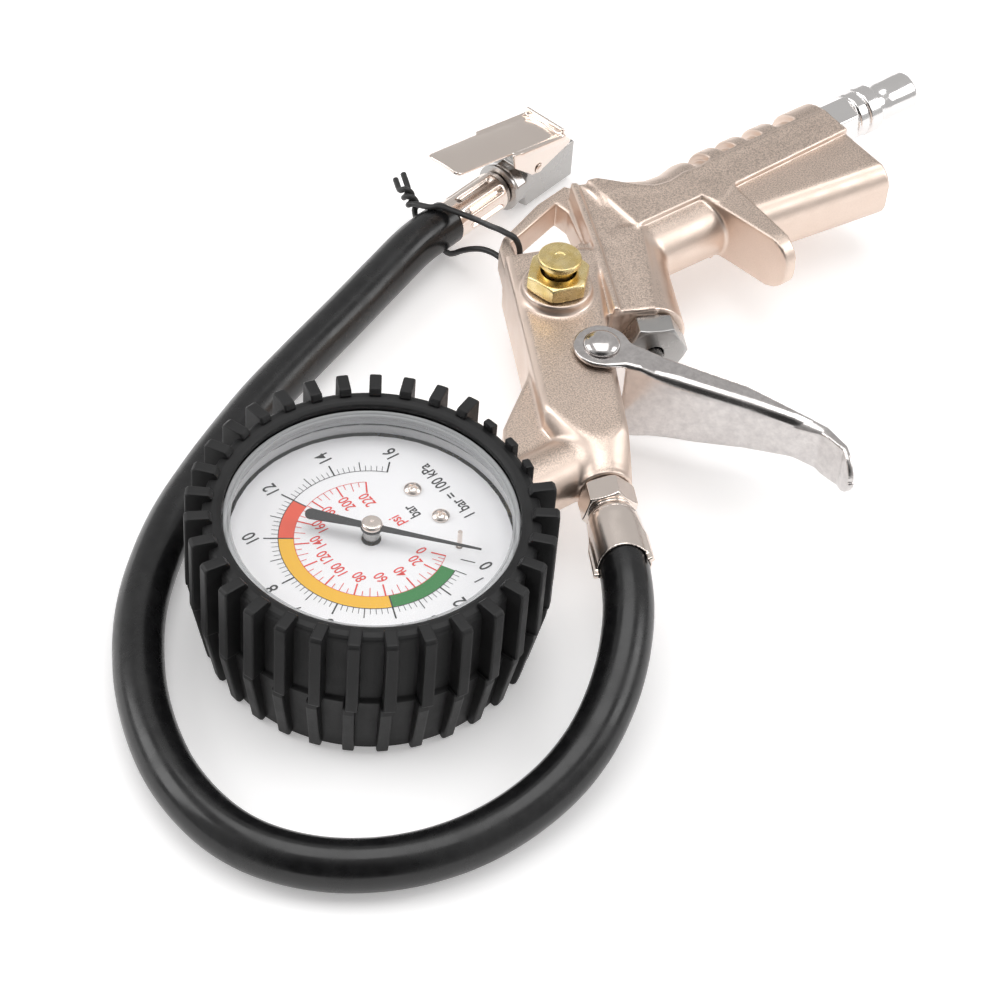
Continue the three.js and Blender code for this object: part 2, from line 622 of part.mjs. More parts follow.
function movementPlate(z0, z1, raised) {
  const corners = [[-24, 6], [-22, -4], [-16, -20], [-4, -22], [12, -4], [21, -6.5], [21, 11], [8, 18]];
  const holes = [bar([0, 0, 0], [0, 0, 44], 1.2, 12)];
  holes.push(bar([...SECTOR_PIVOT, 0], [...SECTOR_PIVOT, 44], 1.2, 12));
  if (raised) {
    SCREWS.forEach(([x, y]) => holes.push(bar([x, y, 0], [x, y, 44], 1.5, 12)));
  }
  return geometryOf(carve(solidOf(prism(corners, z0, z1)), holes));
}
place('movement_plate_lower', movementPlate(11.2, 12.8, false), MATERIAL.brass, gauge);
place('movement_plate_upper', movementPlate(25.8, 27.4, true), MATERIAL.brass, gauge);
PILLARS.forEach(([x, y], i) => {
  place(`movement_pillar_${i + 1}`, bar([x, y, 12.8 + GAP], [x, y, 25.8 - GAP], 1.6, 12),
    MATERIAL.brass, gauge);
});

// The socket carries the Bourdon tube, the movement and the threaded stem.
function gaugeSocket() {
  const block = box([24, 34], [-8, 8], [MID_Z - 7, MID_Z + 6]);
  const stem = bar([33, 0, MID_Z], [57, 0, MID_Z], STEM.bore - GAP - 0.1);
  const flats = bar([33, 0, MID_Z], [39, 0, MID_Z], 7.4, 6);
  return geometryOf(carve(join([block, flats, stem]), [
    bar([28, 0, MID_Z], [60, 0, MID_Z], 1.5, 10),
  ]));
}
place('gauge_socket', gaugeSocket(), MATERIAL.brass, gauge);

function bourdonTube() {
  // A flat oval tube bent to most of a circle, from the socket's top face on.
  const arc = new THREE.EllipseCurve(0, 0, 32, 32, 0.36, 4.55);
  const path = new THREE.CatmullRomCurve3(
    arc.getPoints(24).map((p) => new THREE.Vector3(p.x, p.y, MID_Z)),
  );
  const oval = new THREE.Shape();
  oval.absellipse(0, 0, 4, 1.5, 0, 2 * Math.PI);
  return new THREE.ExtrudeGeometry(oval, {
    steps: 24, extrudePath: path, bevelEnabled: false, curveSegments: 3,
  });
}
place('bourdon_tube', bourdonTube(), MATERIAL.brass, gauge);

const TIP = [32 * Math.cos(4.66), 32 * Math.sin(4.66)];
place('bourdon_tip', box(
  [TIP[0] - 1.2, TIP[0] + 3], [TIP[1] - 2, TIP[1] + 2], [MID_Z - 3, MID_Z + 3],
), MATERIAL.brass, gauge);
place('tube_link', box([-8, -5.6], [-29, -21.5], [21.6, 22.6]), MATERIAL.brass, gauge);
place('hairspring', (() => {
  const turns = [];
  for (let i = 0; i <= 30; i += 1) {
    const a = (2 * Math.PI * 2.5 * i) / 30;
    const r = 2.2 + (3 * i) / 30;
    turns.push(new THREE.Vector3(r * Math.cos(a), r * Math.sin(a), 23.6));
  }
  return wire(new THREE.CatmullRomCurve3(turns), 0.25, 4, 30);
})(), MATERIAL.steel, gauge);

// ---------------------------------------------------------------------- hose
function onOutletAxis(geometry, v) {
  const [x, y] = barrelPoint(OUTLET.u, v);
  return layAlong(geometry, DOWN_BARREL, x, y);
}

// Distances down the outlet from the collar's face.
function hoseFitting() {
  const thread = bar([0, 0, -8], [0, 0, 1], OUTLET.bore - GAP);
  const hexagon = bar([0, 0, GAP], [0, 0, 6], 7.4, 6);
  const barb = bar([0, 0, 5], [0, 0, 8.5], 5.6, 16);
  return onOutletAxis(geometryOf(carve(join([thread, hexagon, barb]), [
    bar([0, 0, -10], [0, 0, 10], 2.4, 12),
  ])), OUTLET.end);
}
place('hose_fitting', hoseFitting(), MATERIAL.nickel);

const FERRULE = { inner: 6.9, outer: 7.5, start: 8.8, end: 27 };
place('gun_ferrule', onOutletAxis(turned([
  [3, FERRULE.start], [7, FERRULE.start], [FERRULE.outer, FERRULE.start + 2],
  [FERRULE.outer, FERRULE.end], [FERRULE.inner + 0.1, FERRULE.end],
  [FERRULE.inner + 0.1, FERRULE.start + 2.5], [3, FERRULE.start + 1], [3, FERRULE.start],
], 24), OUTLET.end), MATERIAL.nickel);

// The route lies flat around the gauge, once it has come down from the outlet.
const HOSE_ROUTE = [
  barrelPoint(OUTLET.u, -53.6), barrelPoint(OUTLET.u, -60), barrelPoint(OUTLET.u, -66),
  [-38.7, -62.6, 21.6], [-43.2, -69.4, 20.6], [-48.8, -76, 18.9], [-55.8, -82.6, 16.6],
  [-64.2, -88.6, 13.8], [-74.3, -93.8, 11], [-85.8, -97.4, 8.8], [-98.6, -99.2, 7.4],
  [-111, -99.2, 6.9], [-122, -97.5, 6.9], [-131.7, -94.3, 6.9], [-140.4, -89.8, 6.9],
  [-147.9, -84.2, 6.9], [-154.1, -77.6, 6.9], [-159, -70, 6.9], [-162.2, -61, 6.9],
  [-163.6, -50.6, 6.9], [-163.1, -39.2, 6.9], [-160.3, -26.8, 6.9], [-155.6, -14.3, 6.9],
  [-149.2, -2.4, 6.9], [-142, 8, 6.9], [-132.4, 18.4, 6.9], [-119, 29.9, 6.9],
  [-104.2, 39.4, 6.9], [-89.3, 47.7, 6.9], [-73.5, 55.7, 6.9], [-55.6, 63.2, 7],
  [-35.4, 71, 7.5], [-16, 78.6, 8.2], [-1.5, 83.9, 8.9], [11.6, 86.75, 9.1],
];
const hoseCurve = new THREE.CatmullRomCurve3(HOSE_ROUTE.map((p) => new THREE.Vector3(...p)));
place('hose', wire(hoseCurve, HOSE.radius, HOSE.sides, HOSE.steps), MATERIAL.hose);

// --------------------------------------------------------------------- chuck
// In the chuck's frame x runs along it towards its mouth, from the washer.
const chuck = new THREE.Group();
chuck.position.set(CHUCK.x, CHUCK.y, 0);
chuck.rotation.z = CHUCK.turn;
gun.add(chuck);

function onChuckAxis(geometry) {
  return layAlong(geometry, 0, 0, 0, CHUCK.axisZ);
}
place('chuck_ferrule', onChuckAxis(turned([
  [2.6, -22], [6.2, -22], [6.2, -2], [5.6, -GAP], [2.6, -GAP], [2.6, -22],
], 24)), MATERIAL.nickel, chuck);
place('chuck_washer', onChuckAxis(ring(3, 7.7, 0, 1.2, 24)), MATERIAL.seal, chuck);

const BLOCK = { start: 1.6, end: 27, half: 6.6, bottom: 1.6, top: 15.4 };
const JAW_SLOT = [20.6, 25.2];

function chuckBody() {
  const block = solidOf(box([BLOCK.start, BLOCK.end], [-BLOCK.half, BLOCK.half],
    [BLOCK.bottom, BLOCK.top]));
  const cheeks = solidOf(box([5, 13], [-3, 3], [BLOCK.top - 1, 18.6]));
  const z = CHUCK.axisZ;
  return geometryOf(carve(block.add(cheeks), [
    bar([8, 0, z], [BLOCK.end + 5, 0, z], 4.5, 24),
    bar([-5, 0, z], [9, 0, z], 1.8, 12),
    box(JAW_SLOT, [-5.4, 5.4], [z - 1, 30]),
    bar([9, -10, 16], [9, 10, 16], 1.35, 14),
  ]));
}
place('chuck_body', chuckBody(), MATERIAL.steel, chuck);
place('chuck_seal', onChuckAxis(ring(1.9, 4.2, 8.3, 11.4, 20)), MATERIAL.seal, chuck);
place('chuck_check_pin', onChuckAxis(turned([
  [0, 3], [1.2, 3], [1.2, 13.4], [0.7, 14], [0, 14],
], 14)), MATERIAL.brass, chuck);
place('chuck_pin', bar([9, -8.2, 16], [9, 8.2, 16], 1.1, 14), MATERIAL.steel, chuck);

// The thumb lever: a sloping plate with two ears that hang over the block.
const THUMB = {
  tip: -26.5, shoulder: -3, end: 20.6, endZ: 22, slope: 0.255, sheet: 1, half: 6.2, wide: 7.9,
};

function thumbLever() {
  const { tip, shoulder, end, endZ, slope, sheet, half, wide } = THUMB;
  const top = (x) => endZ + (end - x) * slope;
  // Each outline is drawn from the side, in x and z, and pushed across.
  const across = (outline, y0, y1) => prism(outline, y0, y1).rotateX(Math.PI / 2);
  const strip = (start) => [
    [start, top(start)], [end, endZ], [end, endZ - sheet], [start, top(start) - sheet],
  ];
  const lip = [
    [end - sheet, endZ - 0.6], [end, endZ - 0.8], [end + 0.3, endZ + 2], [end - 0.7, endZ + 2],
  ];
  const ear = [
    [shoulder, top(shoulder)], [end, endZ], [end + 3, endZ - 3.4], [end + 2.4, endZ - 4.6],
    [9.4, 13.8], [6.4, 14.6], [shoulder + 1, endZ],
  ];
  const pieces = [
    across(strip(tip), -half, half),
    across(strip(shoulder), -wide, wide),
    across(lip, 0.5 - wide, wide - 0.5),
    across(ear, wide - sheet, wide),
    across(ear, -wide, sheet - wide),
  ];
  return geometryOf(carve(join(pieces), [bar([9, -12, 16], [9, 12, 16], 1.35, 14)]));
}
place('chuck_lever', thumbLever(), MATERIAL.nickel, chuck);

function chuckJaw() {
  const start = JAW_SLOT[0] + 0.7;
  const plate = solidOf(box([start, start + 1.2], [-4.9, 4.9], [CHUCK.axisZ, 19.8]));
  const notch = bar([15, 0, CHUCK.axisZ], [30, 0, CHUCK.axisZ], 3.6, 16);
  return geometryOf(carve(plate, [notch]));
}
place('chuck_jaw', chuckJaw(), MATERIAL.steel, chuck);

// ------------------------------------------------------------------ twist tie
// One wire: a tail, over the hose's end, through the loop and back under the hose
// to the other tail, with the two tails wound round each other.
const TIE = { radius: 0.95, wind: 1.3, turns: 1.25, from: [5, 94, 12.6], to: [7, 102.5, 12.6] };

function woundTail(side) {
  const a = new THREE.Vector3(...TIE.from);
  const b = new THREE.Vector3(...TIE.to);
  const across = new THREE.Vector3(b.y - a.y, a.x - b.x, 0).normalize();
  const points = [];
  for (let i = 0; i <= 6; i += 1) {
    const turn = Math.PI / 2 + (2 * Math.PI * TIE.turns * i) / 6;
    const point = a.clone().lerp(b, i / 6).addScaledVector(across, side * TIE.wind * Math.cos(turn));
    points.push(point.setZ(point.z + side * TIE.wind * Math.sin(turn)));
  }
  return points;
}

const TIE_LOOP = [
  [6.5, 88.7, 16], [8.6, 86, 17.2], [10.7, 81.4, 17.6], [12.3, 76.5, 18.4], [11.6, 70.6, 21.4],
  [10.2, 64.6, 25], [9.5, 59.6, 27.8], [9.7, 56.4, 28.7], [10.6, 53.6, 28.5], [11.3, 52.1, 26],
  [11.5, 51.6, 22], [11.4, 52.2, 17.6], [11.3, 54.6, 15.6], [11.6, 59, 15.2], [11.2, 63, 15],
  [10.3, 67, 14], [9.2, 70.6, 12], [8.5, 74.6, 8.6], [8.6, 78.4, 4.6], [9, 81.8, 1.9],
  [9.4, 86, 1.05], [8.6, 90.8, 1.9], [7.2, 94.8, 5],
];
const tieCurve = new THREE.CatmullRomCurve3([
  new THREE.Vector3(7.8, 107.9, 12),
  ...woundTail(1).reverse(),
  ...TIE_LOOP.map((p) => new THREE.Vector3(...p)),
  ...woundTail(-1),
  new THREE.Vector3(10.5, 107.8, 13),
]);
place('hose_tie', wire(tieCurve, TIE.radius, 6, 80), MATERIAL.tie);

export default group;
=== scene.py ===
"""Tyre inflator with a dial gauge: surfaces, materials, lights and camera.

Lengths below are in millimetres until a mesh is made.  The gun frame has x along
the grip, y towards its back and z up, with its zero on the trigger's rivet.
"""

import json
import math

import bmesh
import bpy
import numpy as np
from mathutils import Matrix, Vector


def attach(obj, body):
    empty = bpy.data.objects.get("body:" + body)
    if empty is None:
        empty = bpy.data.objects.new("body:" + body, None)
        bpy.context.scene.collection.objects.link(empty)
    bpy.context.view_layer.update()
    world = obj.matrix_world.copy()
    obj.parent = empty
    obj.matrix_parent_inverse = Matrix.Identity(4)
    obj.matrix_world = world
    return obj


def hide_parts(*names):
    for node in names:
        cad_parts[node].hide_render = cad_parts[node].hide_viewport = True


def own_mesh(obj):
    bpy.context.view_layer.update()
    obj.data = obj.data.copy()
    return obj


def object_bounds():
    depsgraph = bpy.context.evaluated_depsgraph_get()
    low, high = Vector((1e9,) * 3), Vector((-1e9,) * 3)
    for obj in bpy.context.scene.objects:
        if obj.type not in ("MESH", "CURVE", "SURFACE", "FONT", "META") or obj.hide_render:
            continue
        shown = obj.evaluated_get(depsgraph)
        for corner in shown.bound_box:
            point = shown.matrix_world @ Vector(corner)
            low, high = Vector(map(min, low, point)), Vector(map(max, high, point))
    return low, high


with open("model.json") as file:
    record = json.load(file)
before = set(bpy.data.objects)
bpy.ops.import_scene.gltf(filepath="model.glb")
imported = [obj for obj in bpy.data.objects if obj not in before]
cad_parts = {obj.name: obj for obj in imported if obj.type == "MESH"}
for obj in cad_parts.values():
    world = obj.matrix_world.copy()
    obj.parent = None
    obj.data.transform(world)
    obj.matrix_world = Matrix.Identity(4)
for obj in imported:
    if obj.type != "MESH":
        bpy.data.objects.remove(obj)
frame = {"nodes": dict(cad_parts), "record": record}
cad_low, cad_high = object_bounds()

# ------------------------------------------------------------------ dimensions
MM = 0.001
SHIFT = Vector((-9.2, 1.9, 0.0))        # the gun frame's zero in the row frame
MID_Z = 22.0
TURN = math.radians(-26.9)               # the barrel's turn about +Z
DIAL = Vector((-91.8, -22.9, 0.0))       # the gauge's axis
VALVE_U = 17.9                           # the valve's axis, across the barrel
OUTLET_U = -5.9                          # the outlet's axis, across the barrel
BLEED = (4.0, 25.5)
INLET_Y = 49.0
CHUCK = Vector((33.9, 91.5, 0.0))
CHUCK_TURN = math.radians(12.0)
CHUCK_Z = 8.6


def row(x, y, z):
    """A point of the gun frame, in the row frame's metres."""
    return (Vector((x, y, z)) + SHIFT) * MM


def barrel(u, v, z=MID_Z):
    """A point given across the barrel and up it, in the gun frame."""
    c, s = math.cos(TURN), math.sin(TURN)
    return (u * c - v * s, u * s + v * c, z)


GUN = Matrix.Translation(SHIFT * MM)
BARREL = GUN @ Matrix.Rotation(TURN, 4, "Z")
GAUGE = Matrix.Translation((DIAL + SHIFT) * MM)
CLIP = Matrix.Translation((CHUCK + SHIFT) * MM) @ Matrix.Rotation(CHUCK_TURN, 4, "Z")


def axis_frame(base, origin, angle):
    """A frame whose +Z lies level at this angle in base's frame."""
    place = Matrix.Translation(Vector(origin) * MM)
    return base @ place @ Matrix.Rotation(angle, 4, "Z") @ Matrix.Rotation(math.pi / 2, 4, "Y")


OUTLET = axis_frame(BARREL, (OUTLET_U, -42.0, MID_Z), -math.pi / 2)
GLAND = axis_frame(BARREL, (VALVE_U, 16.0, MID_Z), -math.pi / 2)
PLUG = axis_frame(GUN, (120.0, INLET_Y, MID_Z), 0.0)
MOUTH = axis_frame(CLIP, (0.0, 0.0, CHUCK_Z), 0.0)
BUTTON = GUN @ Matrix.Translation(Vector((*BLEED, 0)) * MM)
HINGE = GUN                              # the gun frame's zero is on the rivet

# ---------------------------------------------------------------------- camera
ELEVATION, AZIMUTH, ROLL = math.radians(46.9), math.radians(-40.0), math.radians(5.1)
camera = bpy.data.objects.new("camera", bpy.data.cameras.new("camera"))
bpy.context.collection.objects.link(camera)
camera.data.sensor_width = 36.0
camera.data.lens = 104.4
camera.data.clip_end = 10.0
camera.location = row(-385.7, -422.6, 581.1)
camera.rotation_mode = "QUATERNION"
camera.rotation_quaternion = (
    Matrix.Rotation(AZIMUTH, 4, "Z")
    @ Matrix.Rotation(math.pi / 2 - ELEVATION, 4, "X")
    @ Matrix.Rotation(ROLL, 4, "Z")
).to_quaternion()
bpy.context.scene.camera = camera


# ------------------------------------------------------------------- materials
class Surface:
    """A node material: a principled shader with noise on what it is given."""

    def __init__(self, name, color, metallic, roughness):
        self.material = bpy.data.materials.new(name)
        self.material.use_nodes = True
        self.nodes = self.material.node_tree.nodes
        self.links = self.material.node_tree.links
        self.shader = self.nodes["Principled BSDF"]
        self.set("Base Color", (*color, 1.0))
        self.set("Metallic", metallic)
        self.set("Roughness", roughness)
        self.coords = self.nodes.new("ShaderNodeTexCoord").outputs["Object"]
        self.bumped = None

    def set(self, socket, value):
        self.shader.inputs[socket].default_value = value

    def noise(self, scale, detail=3.0, rough=0.6):
        node = self.nodes.new("ShaderNodeTexNoise")
        node.inputs["Scale"].default_value = scale
        node.inputs["Detail"].default_value = detail
        node.inputs["Roughness"].default_value = rough
        self.links.new(self.coords, node.inputs["Vector"])
        return node.outputs["Fac"]

    def ramp(self, value, low, high, start, end):
        node = self.nodes.new("ShaderNodeMapRange")
        node.inputs["From Min"].default_value = low
        node.inputs["From Max"].default_value = high
        node.inputs["To Min"].default_value = start
        node.inputs["To Max"].default_value = end
        self.links.new(value, node.inputs["Value"])
        return node.outputs["Result"]

    def roughen(self, value, low, high):
        self.links.new(self.ramp(value, 0.35, 0.65, low, high), self.shader.inputs["Roughness"])
        return self

    def mix(self, factor, first, second):
        """One of two colours, or of a colour and another mix, by a factor."""
        node = self.nodes.new("ShaderNodeMix")
        node.data_type = "RGBA"
        self.links.new(factor, node.inputs[0])
        for socket, color in ((node.inputs[6], first), (node.inputs[7], second)):
            if isinstance(color, tuple):
                socket.default_value = (*color, 1.0)
            else:
                self.links.new(color, socket)
        return node.outputs[2]

    def tint(self, value, dark, light):
        color = self.mix(self.ramp(value, 0.35, 0.65, 0.0, 1.0), dark, light)
        self.links.new(color, self.shader.inputs["Base Color"])
        return self

    def bump(self, value, depth_mm, strength=1.0):
        node = self.nodes.new("ShaderNodeBump")
        if isinstance(strength, float):
            node.inputs["Strength"].default_value = strength
        else:
            self.links.new(strength, node.inputs["Strength"])
        node.inputs["Distance"].default_value = depth_mm * MM
        self.links.new(value, node.inputs["Height"])
        if self.bumped:
            self.links.new(self.bumped, node.inputs["Normal"])
        self.bumped = node.outputs["Normal"]
        self.links.new(self.bumped, self.shader.inputs["Normal"])
        return self


def casting_surface():
    """Satin plate over a sand-textured casting, coarser on its level faces."""
    s = Surface("casting", (0.76, 0.63, 0.54), 1.0, 0.36)
    grain = s.noise(2300, 2.0, 0.8)
    patches = s.noise(160, 4.0, 0.6)
    normal = s.nodes.new("ShaderNodeNewGeometry").outputs["Normal"]
    split = s.nodes.new("ShaderNodeSeparateXYZ")
    s.links.new(normal, split.inputs["Vector"])
    level = s.ramp(split.outputs["Z"], 0.88, 0.985, 0.1, 1.0)
    specks = s.mix(s.ramp(grain, 0.38, 0.58, 0.0, 1.0), (0.44, 0.357, 0.305), (0.76, 0.625, 0.535))
    color = s.mix(level, (0.80, 0.66, 0.57), specks)
    s.links.new(color, s.shader.inputs["Base Color"])
    s.roughen(patches, 0.32, 0.44)
    return s.bump(grain, 0.13, level).bump(patches, 0.1, 0.22).material


def chrome_surface(name, color, low, high):
    s = Surface(name, color, 1.0, low)
    s.roughen(s.noise(90, 4.0), low, high)
    return s.bump(s.noise(220, 2.0), 0.01, 0.5).material


def brass_surface():
    s = Surface("brass", (0.86, 0.68, 0.32), 1.0, 0.26)
    s.tint(s.noise(240, 4.0), (0.80, 0.61, 0.25), (0.92, 0.76, 0.42))
    s.roughen(s.noise(500, 3.0), 0.2, 0.34)
    return s.bump(s.noise(900, 2.0), 0.02, 0.4).material


def pressed_surface():
    """The trigger's plate: duller than the plug's, and a little mottled."""
    s = Surface("pressed_plate", (0.66, 0.63, 0.615), 1.0, 0.18)
    mottle = s.noise(420, 4.0, 0.7)
    s.tint(mottle, (0.58, 0.55, 0.54), (0.70, 0.67, 0.655))
    s.roughen(s.noise(70, 4.0), 0.14, 0.27)
    return s.bump(mottle, 0.03, 0.35).material


def rubber_surface():
    s = Surface("boot_rubber", (0.014, 0.014, 0.0145), 0.0, 0.5)
    s.set("Specular IOR Level", 0.34)
    fine = s.noise(900, 3.0)
    marks = s.noise(60, 5.0, 0.7)
    s.tint(marks, (0.009, 0.009, 0.0095), (0.018, 0.018, 0.0185))
    s.roughen(marks, 0.4, 0.58)
    return s.bump(fine, 0.06, 0.4).bump(marks, 0.15, 0.2).material


def hose_surface():
    s = Surface("hose_rubber", (0.009, 0.009, 0.0095), 0.0, 0.22)
    s.set("Specular IOR Level", 0.5)
    marks = s.noise(70, 4.0, 0.65)
    s.roughen(marks, 0.17, 0.34)
    s.tint(s.noise(300, 3.0), (0.006, 0.006, 0.0065), (0.012, 0.012, 0.0125))
    return s.bump(marks, 0.12, 0.3).material


def plain_surface(name, color, metallic, roughness, grain=600, depth=0.02):
    """Paint, ink, paper or soft plastic, with a faint grain."""
    s = Surface(name, color, metallic, roughness)
    s.roughen(s.noise(grain, 3.0), max(roughness - 0.06, 0.02), roughness + 0.08)
    return s.bump(s.noise(grain, 2.0), depth, 0.4).material


def clear_surface(name, color, alpha, roughness):
    """Clear moulded plastic."""
    s = Surface(name, color, 0.0, roughness)
    s.set("Alpha", alpha)
    s.set("IOR", 1.5)
    s.set("Specular IOR Level", 0.25)
    s.roughen(s.noise(40, 4.0), roughness, roughness + 0.02)
    return s.material


LOOK = {
    "casting": casting_surface(),
    "chrome": chrome_surface("polished_chrome", (0.83, 0.81, 0.80), 0.1, 0.2),
    "steel": chrome_surface("satin_steel", (0.46, 0.45, 0.44), 0.2, 0.34),
    "nickel": chrome_surface("bright_nickel", (0.86, 0.765, 0.70), 0.16, 0.26),
    "brass": brass_surface(),
    "rubber": rubber_surface(),
    "hose": hose_surface(),
    "dial": plain_surface("dial_white", (0.95, 0.945, 0.96), 0.0, 0.42),
    "lens": clear_surface("clear_lens", (0.93, 0.95, 0.97), 0.04, 0.02),
    "pointer": plain_surface("pointer_black", (0.012, 0.011, 0.011), 0.0, 0.38),
    "seal": plain_surface("seal_rubber", (0.02, 0.02, 0.02), 0.0, 0.6, 500, 0.05),
    "tie": plain_surface("tie_plastic", (0.02, 0.019, 0.019), 0.0, 0.42, 700, 0.08),
}
DETAIL = {
    "rim": clear_surface("lens_rim", (0.62, 0.63, 0.64), 0.55, 0.08),
    "liner": plain_surface("dial_liner", (0.6, 0.6, 0.61), 0.0, 0.35),
    "pressed": pressed_surface(),
    "black": plain_surface("ink_black", (0.02, 0.02, 0.02), 0.0, 0.5),
    "red": plain_surface("ink_red", (0.80, 0.045, 0.035), 0.0, 0.5),
    "green": plain_surface("ink_green", (0.006, 0.21, 0.028), 0.0, 0.5),
    "yellow": plain_surface("ink_yellow", (0.93, 0.50, 0.005), 0.0, 0.5),
    "orange": plain_surface("ink_orange", (0.86, 0.085, 0.03), 0.0, 0.5),
}
# Every CAD node gets its slot's finish; those that a piece replaces aren't shown.
for entry in frame["record"]["subparts"]:
    cad = frame["nodes"][entry["node"]]
    cad.data.materials.clear()
    cad.data.materials.append(LOOK[entry["material_slot"]])


# --------------------------------------------------------------------- helpers
def piece(name, mesh, look, body, place=GUN, nodes=(), smooth=True):
    """Put a mesh in place as a named piece that rides on a body."""
    mesh.transform(place)
    if smooth:
        mesh.polygons.foreach_set("use_smooth", [True] * len(mesh.polygons))
    obj = bpy.data.objects.new(name, mesh)
    bpy.context.collection.objects.link(obj)
    mesh.materials.clear()
    mesh.materials.append(DETAIL.get(look) or LOOK[look])
    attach(obj, body)
    if nodes:
        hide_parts(*nodes)
    return obj


def mesh_from(name, vertices, faces):
    """A mesh in metres from vertices in millimetres."""
    mesh = bpy.data.meshes.new(name)
    mesh.from_pydata([Vector(v) * MM for v in vertices], [], faces)
    mesh.update()
    return mesh


def lathe(name, profile, segments=96):
    """A closed turned solid about +Z from [radius, z] points, bottom to top."""
    vertices, faces, rings = [], [], []
    for r, z in profile:
        if r < 1e-6:
            rings.append([len(vertices)] * segments)
            vertices.append((0, 0, z))
            continue
        rings.append([len(vertices) + i for i in range(segments)])
        for i in range(segments):
            a = 2 * math.pi * i / segments
            vertices.append((r * math.cos(a), r * math.sin(a), z))
    for low, high in zip(rings, rings[1:]):
        for i in range(segments):
            j = (i + 1) % segments
            loop = [low[i], low[j], high[j], high[i]]
            corners = list(dict.fromkeys(loop))
            if len(corners) > 2:
                faces.append(corners)
    return mesh_from(name, vertices, faces)


def rounded(profile, radius=0.3, steps=3):
    """The profile with each of its corners rounded off."""
    points = [Vector(p) for p in profile]
    result = [points[0]]
    for before, corner, after in zip(points, points[1:], points[2:]):
        back, ahead = before - corner, after - corner
        if back.length < 1e-6 or ahead.length < 1e-6:
            result.append(corner)
            continue
        reach = min(radius, back.length * 0.45, ahead.length * 0.45)
        a = corner + back.normalized() * reach
        b = corner + ahead.normalized() * reach
        for k in range(steps + 1):
            t = k / steps
            result.append((1 - t) ** 2 * a + 2 * t * (1 - t) * corner + t ** 2 * b)
    result.append(points[-1])
    return [tuple(p) for p in result]


def turned(name, profile, radius=0.3, segments=96):
    """A turned solid with its corners rounded off."""
    return lathe(name, rounded(profile, radius), segments)


# Solids by their distance fields: negative inside, in millimetres.
class Grid:
    """The points at which a solid's distance is sampled."""

    def __init__(self, low, high, step):
        self.low, self.step = np.array(low, np.float32), step
        axes = [np.arange(a, b + step, step, dtype=np.float32) for a, b in zip(low, high)]
        self.x, self.y, self.z = np.meshgrid(*axes, indexing="ij", sparse=True)


def outline_distance(x, y, points):
    """The signed distance to a closed outline in a plane."""
    best = np.full(np.broadcast(x, y).shape, 1e9, np.float32)
    inside = np.zeros(best.shape, bool)
    for (ax, ay), (bx, by) in zip(points, points[1:] + points[:1]):
        dx, dy = bx - ax, by - ay
        t = np.clip(((x - ax) * dx + (y - ay) * dy) / (dx * dx + dy * dy), 0, 1)
        best = np.minimum(best, (x - ax - t * dx) ** 2 + (y - ay - t * dy) ** 2)
        if dy:
            crosses = ((ay > y) != (by > y)) & (x < dx * (y - ay) / dy + ax)
            inside ^= crosses
    return np.where(inside, -1, 1) * np.sqrt(best)


def rounded_box(across, up, radius):
    """What is inside both distances, with the edges between them rounded."""
    across, up = across + radius, up + radius
    outside = np.sqrt(np.maximum(across, 0) ** 2 + np.maximum(up, 0) ** 2)
    return np.minimum(np.maximum(across, up), 0) + outside - radius


def slab(flat, z, low, high, radius):
    """An outline's distance pushed up from low to high, with rounded edges."""
    return rounded_box(flat, np.abs(z - (low + high) / 2) - (high - low) / 2, radius)


def rod(x, y, z, start, end, radius, edge=0.5):
    """A round bar with rounded ends' edges."""
    a, b = np.array(start, float), np.array(end, float)
    length = np.linalg.norm(b - a)
    d = (b - a) / length
    along = (x - a[0]) * d[0] + (y - a[1]) * d[1] + (z - a[2]) * d[2]
    squared = (x - a[0]) ** 2 + (y - a[1]) ** 2 + (z - a[2]) ** 2
    off = np.sqrt(np.maximum(squared - along ** 2, 0))
    return rounded_box(off - radius, np.abs(along - length / 2) - length / 2, edge)


def blend(a, b, width):
    """The union of two solids with a fillet between them."""
    h = np.clip(0.5 + 0.5 * (b - a) / width, 0, 1)
    return b + (a - b) * h - width * h * (1 - h)


def cut(a, b, width=0.4):
    """a less b, with a softened edge."""
    return -blend(-a, b, width)


